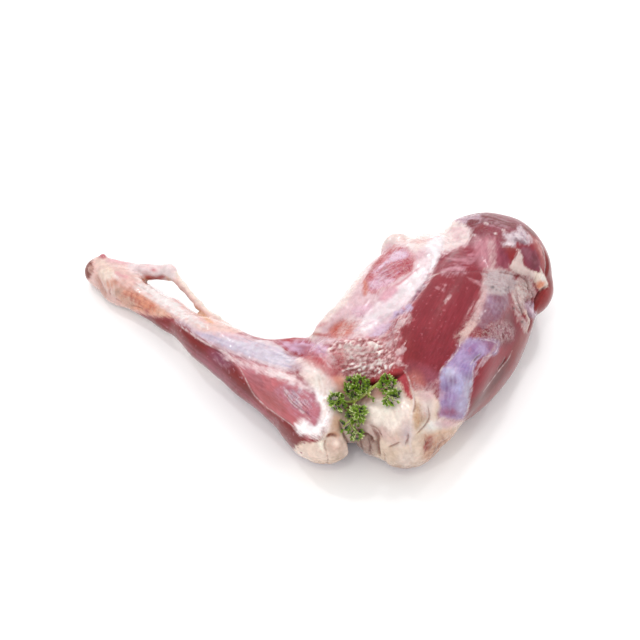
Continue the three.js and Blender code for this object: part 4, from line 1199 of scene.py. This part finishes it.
THIGH_HEADING = 62
SHANK_HEADING = -42
shank_share = smooth(-placed[:, 0] - 0.35 * placed[:, 1], 5, 45)
thigh_waves = grown(9, 21.0, 5, THIGH_HEADING)
shank_waves = grown(5, 23.0, 6, SHANK_HEADING)
waves = thigh_waves * (1 - shank_share) + shank_waves * shank_share
covered = smooth(cover_edge, -0.5, 1.5)
relief += 0.12 * waves + 0.35 * lumps_large + covered * (0.08 * lumps_small + 0.3 * lumps_middle)
relief += wrinkled * (0.3 * lumps_fine + 0.3 * lumps_small)

# ---------- meat ----------
# Raw lamb: lean red fibres under a cover of fat, film and sinew with a soft, streaky edge, thin lines,
# veins, creases with painted shade along their bottoms, and white crumbs that are partly painted glints,
# all wet. The skin gets its relief, and what was drawn is kept as attributes, which the material reads.

MILLIMETRE = 0.001
FIBRE_SIZE = (0.030, 0.0013, 0.0013)
VEIN_RED = (0.62, 0.2, 0.2, 1)
CRUMB_AND_GLINT_WHITE = (*tone(255, 238, 230), 1)
THREAD_WHITE = (*tone(255, 240, 234), 1)
SINEW_WHITE = (*tone(250, 232, 230), 1)
CREASE_SHADE = (0.4, 0.22, 0.2, 1)  # what is left of the colour at the bottom of a crease
GAP_SHADE = (0.74, 0.34, 0.34, 1)  # and between the threads of a torn film


def keep_attribute(name, values):
    layer = skin_mesh.attributes.new(name, "FLOAT", "POINT")
    layer.data.foreach_set("value", values.astype(np.float32))


def keep_colour(name, colours, alpha):
    layer = skin_mesh.attributes.new(name, "FLOAT_COLOR", "POINT")
    rgba = np.concatenate([np.clip(colours, 0, 1), alpha[:, None]], 1)
    layer.data.foreach_set("color", rgba.astype(np.float32).ravel())


def field(tree, name, out="Fac"):
    return add(tree, "ShaderNodeAttribute", out=out, attribute_name=name)


def sums(tree, operation, first, second=0.0, third=0.0, clamp=False):
    terms = {0: first, 1: second, 2: third}
    return add(tree, "ShaderNodeMath", terms, operation=operation, use_clamp=clamp)


def centred(tree, noise_value):
    """Noise of 0 to 1 as -0.5 to 0.5."""
    return sums(tree, "SUBTRACT", noise_value, 0.5)


def times(tree, first, second):
    return sums(tree, "MULTIPLY", first, second)


def ranged(tree, value, low, high, new_low=0.0, new_high=1.0):
    limits = {"Value": value, "From Min": low, "From Max": high, "To Min": new_low, "To Max": new_high}
    return add(tree, "ShaderNodeMapRange", limits, interpolation_type="SMOOTHSTEP")


def mixed(tree, share, first, second, blend="MIX"):
    inputs = {0: share, 6: first, 7: second}
    return add(tree, "ShaderNodeMix", inputs, out=2, data_type="RGBA", blend_type=blend)


def shaded(tree, colour, shade):
    grey = add(tree, "ShaderNodeCombineXYZ", {0: shade, 1: shade, 2: shade})
    return mixed(tree, 1.0, colour, grey, "MULTIPLY")


def speckle(tree, place, size, detail=2.0, rough=0.5, distort=0.0):
    """Noise with lumps of this size in metres, 0 to 1."""
    grain = {"Vector": place, "Scale": 1 / size, "Detail": detail}
    return add(tree, "ShaderNodeTexNoise", {**grain, "Roughness": rough, "Distortion": distort})


def bumped(tree, height, strength, distance):
    """The normal of a surface with this height, of which 1 stands for the distance in metres."""
    inputs = {"Strength": strength, "Distance": distance, "Height": height}
    return add(tree, "ShaderNodeBump", inputs, out="Normal")


def fibres(tree, place, heading):
    """Fine streaks along a heading in the plan."""
    turned = {"Vector": place, "Rotation": (0, 0, math.radians(heading)), "Scale": FIBRE_SIZE}
    along = add(tree, "ShaderNodeMapping", turned, vector_type="TEXTURE")
    return speckle(tree, along, 1.0, 3.0, 0.6)


def raw_lamb():
    material, tree, surface = new_material("raw_lamb")
    place = add(tree, "ShaderNodeTexCoord", out="Object")
    torn = centred(tree, speckle(tree, place, 1.1 * MILLIMETRE, 2))
    cloudy = speckle(tree, place, 5 * MILLIMETRE, 3, 0.55)
    broad = speckle(tree, place, 14 * MILLIMETRE, 3)
    along_thigh = fibres(tree, place, THIGH_HEADING)
    along_shank = fibres(tree, place, SHANK_HEADING)
    both = {"Factor": field(tree, "shank_share"), "A": along_thigh, "B": along_shank}
    streaks = add(tree, "ShaderNodeMix", both)
    streaked = centred(tree, streaks)
    creases = centred(tree, speckle(tree, place, 2.2 * MILLIMETRE, 3, 0.6, 1.2))
    ridges = sums(tree, "ABSOLUTE", creases)
    veins = centred(tree, speckle(tree, place, 9 * MILLIMETRE, 2, 0.5, 0.8))
    vein_share = ranged(tree, sums(tree, "ABSOLUTE", veins), 0.0, 0.012, 1, 0)

    curls = speckle(tree, place, 3.2 * MILLIMETRE, 3, 0.6, 1.4)
    threads = sums(tree, "ABSOLUTE", centred(tree, curls))
    lacy_share = field(tree, "lacy")
    thread_share = times(tree, ranged(tree, threads, 0, 0.045, 1, 0), lacy_share)
    gap_share = times(tree, ranged(tree, curls, 0.3, 0.46, 1, 0), lacy_share)
    # the highest curls: white crumbs of fat, partly painted glints
    crumb_and_glint_share = times(tree, ranged(tree, curls, 0.55, 0.68), lacy_share)

    soft = field(tree, "softness")
    frayed = sums(tree, "MULTIPLY_ADD", torn, 1.6, field(tree, "cover_edge"))
    frayed = sums(tree, "MULTIPLY_ADD", times(tree, streaked, soft), 2.4, frayed)
    cover_share = ranged(tree, frayed, times(tree, soft, -1), soft)
    alpha = field(tree, "cover", "Alpha")
    thin = sums(tree, "SUBTRACT", 1.04, alpha)
    uneven = sums(tree, "MULTIPLY_ADD", streaked, 2.0, times(tree, centred(tree, cloudy), 1.6))
    opacity = sums(tree, "MULTIPLY_ADD", uneven, thin, alpha, clamp=True)
    line_offset = times(tree, torn, 0.8)
    pale_share = ranged(tree, sums(tree, "ADD", field(tree, "pale_line"), line_offset), -0.6, 0.6)
    pale_share = times(tree, pale_share, ranged(tree, cloudy, 0.35, 0.62, 0.2, 0.75))
    # painted shade at the bottom of creases
    crease_shade_share = ranged(tree, sums(tree, "ADD", field(tree, "crease_shade_line"), line_offset), -0.8, 0.8)

    streak_shade = ranged(tree, streaks, 0.3, 0.7, 0.89, 1.12)
    shade = times(tree, streak_shade, ranged(tree, broad, 0.3, 0.7, 0.93, 1.07))
    lean = shaded(tree, field(tree, "flesh", "Color"), shade)
    fat = shaded(tree, field(tree, "cover", "Color"), ranged(tree, cloudy, 0.3, 0.7, 0.9, 1.06))
    fat = mixed(tree, times(tree, vein_share, 0.16), fat, VEIN_RED)
    colour = mixed(tree, times(tree, cover_share, opacity), lean, fat)
    colour = mixed(tree, times(tree, gap_share, 0.8), colour, GAP_SHADE, "MULTIPLY")
    colour = mixed(tree, times(tree, crumb_and_glint_share, 0.65), colour, CRUMB_AND_GLINT_WHITE)
    colour = mixed(tree, times(tree, thread_share, 0.5), colour, THREAD_WHITE)
    colour = mixed(tree, pale_share, colour, SINEW_WHITE)
    colour = mixed(tree, times(tree, crease_shade_share, 0.85), colour, CREASE_SHADE, "MULTIPLY")

    crinkle = times(tree, ridges, ranged(tree, field(tree, "wrinkled"), 0, 1, 0.06, 2.0))
    height = times(tree, cover_share, 0.12)
    for layer, millimetres in [(pale_share, 0.15), (sums(tree, "SUBTRACT", crumb_and_glint_share, gap_share), 0.7),
                               (crease_shade_share, -0.3), (streaks, 0.1), (crinkle, 1.0), (cloudy, 0.15)]:
        height = sums(tree, "MULTIPLY_ADD", layer, millimetres, height)
    bump = bumped(tree, height, 0.7, MILLIMETRE)
    lean_rough = ranged(tree, broad, 0.3, 0.7, 0.3, 0.42)
    fat_rough = ranged(tree, cloudy, 0.3, 0.7, 0.2, 0.34)
    roughness = add(tree, "ShaderNodeMix", {"Factor": cover_share, "A": lean_rough, "B": fat_rough})
    wet = {
        "Base Color": colour,
        "Roughness": roughness,
        "Normal": bump,
        "IOR": 1.38,
        "Specular IOR Level": 0.3,
        "Subsurface Weight": 0.15,
        "Subsurface Radius": (1.0, 0.35, 0.25),
        "Subsurface Scale": 1.5 * MILLIMETRE,
        "Coat Weight": 0.5,
        "Coat Roughness": 0.06,
        "Coat IOR": 1.33,
        "Coat Normal": bump,
    }
    wire(tree, surface, add(tree, "ShaderNodeBsdfPrincipled", wet))
    return material


placed += out * relief[:, None]
placed[:, 2] = np.maximum(placed[:, 2], 0)
skin_mesh.vertices.foreach_set("co", (placed * MILLIMETRE).ravel())
skin_mesh.polygons.foreach_set("use_smooth", np.ones(len(skin_mesh.polygons), bool))
for name, values in [
    ("cover_edge", cover_edge), ("softness", softness), ("pale_line", pale_line),
    ("crease_shade_line", crease_shade_line), ("wrinkled", wrinkled), ("lacy", lacy), ("shank_share", shank_share),
]:
    keep_attribute(name, values)
keep_colour("flesh", flesh, np.ones(vertex_count))
keep_colour("cover", cover, hiding)
skin_mesh.update()
skin_mesh.materials.clear()
skin_mesh.materials.append(raw_lamb())
leg = bpy.data.objects.new("raw_leg_of_lamb", skin_mesh)
scene.collection.objects.link(leg)
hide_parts("leg")
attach(leg, "root")

# ---------- parsley stalks ----------
# A sprig of curly parsley lies over the knee. Its juicy main stalk forks to eight tufts of
# leaves, thinner at each fork, and rests on the meat.

SPRIG_STALKS = [  # joints where the leg was laid out, in millimetres, and the stalk's radius there
    [((12.4, -106.4, 60.5), 0.8), ((19.5, -103, 57), 1.0), ((27.2, -102.3, 58), 1.25),
     ((34.4, -99.5, 61.5), 1.3), ((41.7, -95, 65.5), 1.25), ((48.7, -94.6, 72), 1.1),
     ((52.2, -98.5, 74.5), 0.9), ((57, -109.5, 70.5), 0.6)],
    [((36, -98.8, 62.3), 1.0), ((32.5, -96.5, 64), 0.8), ((29, -94.2, 65), 0.6)],
    [((37, -98, 63), 0.8), ((39, -101.5, 64), 0.7), ((40.2, -104.8, 64), 0.5)],
    [((27.2, -102.3, 58), 1.1), ((26.8, -108, 58.3), 1.0), ((28.4, -115.5, 58.5), 0.8),
     ((24.4, -120, 55.5), 0.8), ((27.5, -126.5, 49), 0.6)],
    [((24.4, -119.5, 56), 0.7), ((21, -122.3, 55.5), 0.6), ((18, -125.1, 54.5), 0.5)],
]
STALK_AIR = 0.5  # millimetres between a stalk's skin and the meat
PUSHES = 4  # times that a place is pushed off the meat
STALK_SIDES = 10
STALK_GREEN = tone(168, 184, 76)
STALK_PALE = tone(206, 210, 124)

meat_tree = BVHTree.FromObject(leg, bpy.context.evaluated_depsgraph_get())


def above_meat(place, air):
    """A place in millimetres where the leg was laid out, in metres in the frame and clear of the meat."""
    here = Vector(place) * MILLIMETRE + Vector(LAID) * MILLIMETRE
    for push in range(PUSHES):
        nearest_point, normal, index, distance = meat_tree.find_nearest(here)
        height = (here - nearest_point).dot(normal)
        if height < air * MILLIMETRE:
            here += normal * (air * MILLIMETRE - height)
    return here


def stalk_tube(joints):
    """A tapering tube through the joints, with closed ends."""
    curve = bpy.data.curves.new("stalk", "CURVE")
    curve.dimensions = "3D"
    curve.resolution_u = 6
    spline = curve.splines.new("BEZIER")
    spline.bezier_points.add(len(joints) - 1)
    for point, (place, radius) in zip(spline.bezier_points, joints):
        point.co = above_meat(place, STALK_AIR + radius)
        point.radius = radius
        point.handle_left_type = point.handle_right_type = "AUTO"
    curve.bevel_depth = MILLIMETRE
    curve.bevel_resolution = STALK_SIDES // 2 - 2
    curve.use_fill_caps = True
    holder = bpy.data.objects.new("stalk", curve)
    scene.collection.objects.link(holder)
    mesh = bpy.data.meshes.new_from_object(holder.evaluated_get(bpy.context.evaluated_depsgraph_get()))
    bpy.data.objects.remove(holder)
    return mesh


def joined(name, meshes):
    whole = bmesh.new()
    for mesh in meshes:
        whole.from_mesh(mesh)
    bmesh.ops.remove_doubles(whole, verts=whole.verts, dist=1e-7)
    bmesh.ops.recalc_face_normals(whole, faces=whole.faces)
    mesh = bpy.data.meshes.new(name)
    whole.to_mesh(mesh)
    mesh.polygons.foreach_set("use_smooth", [True] * len(mesh.polygons))
    made = bpy.data.objects.new(name, mesh)
    scene.collection.objects.link(made)
    return made


def parsley_stalk():
    material, tree, surface = new_material("parsley_stalk")
    place = add(tree, "ShaderNodeTexCoord", out="Object")
    patchy = ranged(tree, speckle(tree, place, 3 * MILLIMETRE), 0.35, 0.65)
    colour = mixed(tree, patchy, (*STALK_GREEN, 1), (*STALK_PALE, 1))
    bump = bumped(tree, speckle(tree, place, 0.6 * MILLIMETRE, 2), 0.4, 0.3 * MILLIMETRE)
    juicy = {"Base Color": colour, "Roughness": 0.35, "Normal": bump, "Subsurface Weight": 0.2,
             "Subsurface Radius": (0.5, 1.0, 0.2), "Subsurface Scale": MILLIMETRE}
    wire(tree, surface, add(tree, "ShaderNodeBsdfPrincipled", juicy))
    return material


stalks = joined("parsley_stalks", [stalk_tube(joints) for joints in SPRIG_STALKS])
stalks.data.materials.append(parsley_stalk())
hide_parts("parsley")
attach(stalks, "root")

# ---------- parsley tufts ----------
# Each tuft is a little dome of curled leaflets that grow outwards from the end of its stalk. A leaflet
# is a fan with toothed lobes, rolled up and down along its edge, with painted shade towards its root,
# deep in the tuft, and a paler tip with a painted highlight.

TUFTS = [  # middle where the leg was laid out, and radius, in millimetres
    ((12.4, -106.4, 60.5), 8.6),
    ((29, -94.2, 65), 10.4),
    ((52.2, -98.5, 74.5), 8.2),
    ((57, -109.5, 70.5), 7.6),
    ((40.2, -104.8, 64), 4.6),
    ((28.4, -115.5, 58.5), 8.4),
    ((27.5, -126.5, 49), 7.2),
    ((18, -125.1, 54.5), 5.2),
]
TUFT_LEAN = Vector((0, -0.3, 0.6))
TUFT_FLATNESS = 0.5
TUFT_AIR = 2.4
LEAFLET_LENGTH = 5.2
LEAFLET_LOBES = 4
LEAFLET_SPREAD = math.radians(78)
LEAFLET_THICKNESS = 0.22
LEAFLET_RINGS, LEAFLET_PARTS = 3, 15
LEAFLET_GAP = 2.15  # millimetres between the leaflets' roots
LEAFLET_DENSITY = 2.0e6  # a square metre, before the gap thins them out
LEAFLET_LEANS = ((-0.6, -1.5, -3.14), (0.6, -0.2, 3.14))
LEAFLET_SIZES = (0.7, 1.15)
ROOT_SEED, LEAN_SEED, SIZE_SEED, SHADE_SEED = 4, 5, 11, 17
DOME_CUT = 0.2  # share of the radius below the middle at which a dome ends
DOME_BUMPS = 0.3
# painted shade deep in the tuft, at the leaflets' roots
LEAF_ROOT_SHADE = tone(32, 62, 10)
LEAF_GREEN = tone(144, 178, 46)
# the leaflets' paler tips, with a painted highlight
LEAF_TIP_AND_HIGHLIGHT = tone(252, 255, 190)


def leaflet_fan():
    """One leaflet at the origin, growing along +X, with how near its edge each point is kept as tip."""
    fan = bmesh.new()
    rings, parts = LEAFLET_RINGS, LEAFLET_PARTS
    grid = [[fan.verts.new((0, 0, 0))] * (parts + 1)]
    for ring in range(1, rings + 1):
        row = []
        for part in range(parts + 1):
            angle = LEAFLET_SPREAD * (2 * part / parts - 1)
            share = ring / rings
            lobe = 0.5 - 0.5 * math.cos(2 * math.pi * LEAFLET_LOBES * part / parts)
            reach = LEAFLET_LENGTH * share * (0.68 + 0.32 * lobe) * (0.75 + 0.25 * math.cos(angle))
            lift = LEAFLET_LENGTH * share**2 * (0.3 * lobe - 0.1 + 0.12 * math.sin(3 * angle))
            row.append(fan.verts.new((reach * math.cos(angle), reach * math.sin(angle), lift)))
        grid.append(row)
    for ring in range(rings):
        for part in range(parts):
            inner, outer = grid[ring], grid[ring + 1]
            corners = [inner[part], outer[part], outer[part + 1], inner[part + 1]]
            fan.faces.new([corner for k, corner in enumerate(corners) if corner not in corners[:k]])
    mesh = bpy.data.meshes.new("leaflet")
    fan.to_mesh(mesh)
    mesh.transform(Matrix.Scale(MILLIMETRE, 4))
    tip = mesh.attributes.new("tip", "FLOAT", "POINT")
    tip.data.foreach_set("value", [v.co.length / (LEAFLET_LENGTH * MILLIMETRE) for v in mesh.vertices])
    leaflet = bpy.data.objects.new("leaflet", mesh)
    scene.collection.objects.link(leaflet)
    thick = leaflet.modifiers.new("thickness", "SOLIDIFY")
    thick.thickness = LEAFLET_THICKNESS * MILLIMETRE
    thick.offset = 0
    return leaflet


def tuft_dome(place, radius):
    """The upper part of a flattened ball, which leans with the meat below it."""
    middle = above_meat(place, TUFT_AIR)
    nearest_point, normal, index, distance = meat_tree.find_nearest(middle)
    up = (normal + TUFT_LEAN).normalized()
    turn = up.to_track_quat("Z", "Y").to_matrix().to_4x4()
    dome = bmesh.new()
    bmesh.ops.create_icosphere(dome, subdivisions=3, radius=(radius - 0.6 * LEAFLET_LENGTH) * MILLIMETRE)
    under = [v for v in dome.verts if v.co.z < -DOME_CUT * radius * MILLIMETRE]
    bmesh.ops.delete(dome, geom=under, context="VERTS")
    for vertex in dome.verts:
        bump = noise.noise(vertex.co / (0.5 * radius * MILLIMETRE) + Vector(place))
        vertex.co *= 1 + DOME_BUMPS * bump
    dome.transform(Matrix.Translation(middle) @ turn @ Matrix.Diagonal((1, 1, TUFT_FLATNESS, 1)))
    mesh = bpy.data.meshes.new("dome")
    dome.to_mesh(mesh)
    return mesh


def new_tree(name, sizes):
    """A geometry tree with one mesh input and these named sizes, its group input and its output."""
    tree = bpy.data.node_groups.new(name, "GeometryNodeTree")
    tree.interface.new_socket("Geometry", in_out="INPUT", socket_type="NodeSocketGeometry")
    for size, kind in sizes:
        tree.interface.new_socket(size, in_out="INPUT", socket_type=kind)
    tree.interface.new_socket("Geometry", in_out="OUTPUT", socket_type="NodeSocketGeometry")
    return tree, tree.nodes.new("NodeGroupInput"), tree.nodes.new("NodeGroupOutput")


def tuft_nodes():
    """Leaflets that grow out of the domes, each turned, leant and sized a little differently."""
    tree, given, result = new_tree("parsley_tufts", [
        ("Leaflet", "NodeSocketObject"), ("Gap", "NodeSocketFloat"), ("Seed", "NodeSocketInt"),
        ("Material", "NodeSocketMaterial"),
    ])
    roots = tree.nodes.new("GeometryNodeDistributePointsOnFaces")
    roots.distribute_method = "POISSON"
    wire(tree, roots.inputs["Mesh"], given.outputs["Geometry"])
    wire(tree, roots.inputs["Distance Min"], given.outputs["Gap"])
    wire(tree, roots.inputs["Density Max"], LEAFLET_DENSITY)
    wire(tree, roots.inputs["Seed"], given.outputs["Seed"])
    leans = {0: LEAFLET_LEANS[0], 1: LEAFLET_LEANS[1], "Seed": LEAN_SEED}
    lean = add(tree, "FunctionNodeRandomValue", leans, data_type="FLOAT_VECTOR")
    both = {0: roots.outputs["Rotation"], 1: lean}
    turned = add(tree, "FunctionNodeRotateRotation", both, rotation_space="LOCAL")
    sizes = {2: LEAFLET_SIZES[0], 3: LEAFLET_SIZES[1], "Seed": SIZE_SEED}
    size = add(tree, "FunctionNodeRandomValue", sizes, out=1, data_type="FLOAT")
    shades = {2: 0.0, 3: 1.0, "Seed": SHADE_SEED}
    shade = add(tree, "FunctionNodeRandomValue", shades, out=1, data_type="FLOAT")
    leaflet = add(tree, "GeometryNodeObjectInfo", {"Object": given.outputs["Leaflet"]}, out="Geometry")
    standing = {"Points": roots.outputs["Points"], "Instance": leaflet, "Rotation": turned, "Scale": size}
    leaflets = add(tree, "GeometryNodeInstanceOnPoints", standing)
    shading = {"Geometry": leaflets, "Name": "shade", "Value": shade}
    kept = add(tree, "GeometryNodeStoreNamedAttribute", shading, data_type="FLOAT", domain="INSTANCE")
    real = add(tree, "GeometryNodeRealizeInstances", {"Geometry": kept})
    coloured = {"Geometry": real, "Material": given.outputs["Material"]}
    finished = add(tree, "GeometryNodeSetMaterial", coloured)
    wire(tree, result.inputs["Geometry"], finished)
    return tree


def parsley_leaf():
    material, tree, surface = new_material("parsley_leaf")
    place = add(tree, "ShaderNodeTexCoord", out="Object")
    shade = ranged(tree, field(tree, "shade"), 0, 1, 0.5, 1.35)
    tip = sums(tree, "MULTIPLY", field(tree, "tip"), shade)
    # painted shade towards each leaflet's root and a painted highlight at its tip, varied by its random
    # shade
    colour = mixed(tree, ranged(tree, tip, 0.1, 0.6), (*LEAF_ROOT_SHADE, 1), (*LEAF_GREEN, 1))
    colour = mixed(tree, ranged(tree, tip, 0.72, 1.15), colour, (*LEAF_TIP_AND_HIGHLIGHT, 1))
    bump = bumped(tree, speckle(tree, place, 0.5 * MILLIMETRE, 2), 0.5, 0.3 * MILLIMETRE)
    fresh = {"Base Color": colour, "Roughness": 0.38, "Normal": bump, "Subsurface Weight": 0.15,
             "Subsurface Radius": (0.4, 1.0, 0.15), "Subsurface Scale": 0.6 * MILLIMETRE}
    wire(tree, surface, add(tree, "ShaderNodeBsdfPrincipled", fresh))
    return material


def grow_tufts():
    leaflet = leaflet_fan()
    tufts = joined("parsley_tufts", [tuft_dome(*tuft) for tuft in TUFTS])
    grower = tufts.modifiers.new("leaflets", "NODES")
    grower.node_group = tuft_nodes()
    sockets = {s.name: s.identifier for s in grower.node_group.interface.items_tree if s.in_out == "INPUT"}
    grower[sockets["Leaflet"]] = leaflet
    grower[sockets["Gap"]] = LEAFLET_GAP * MILLIMETRE
    grower[sockets["Seed"]] = ROOT_SEED
    grower[sockets["Material"]] = parsley_leaf()
    grown_mesh = bpy.data.meshes.new_from_object(tufts.evaluated_get(bpy.context.evaluated_depsgraph_get()))
    tufts.modifiers.clear()
    tufts.data = grown_mesh
    bpy.data.objects.remove(leaflet)
    return tufts


tufts = grow_tufts()
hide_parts("parsley")
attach(tufts, "root")
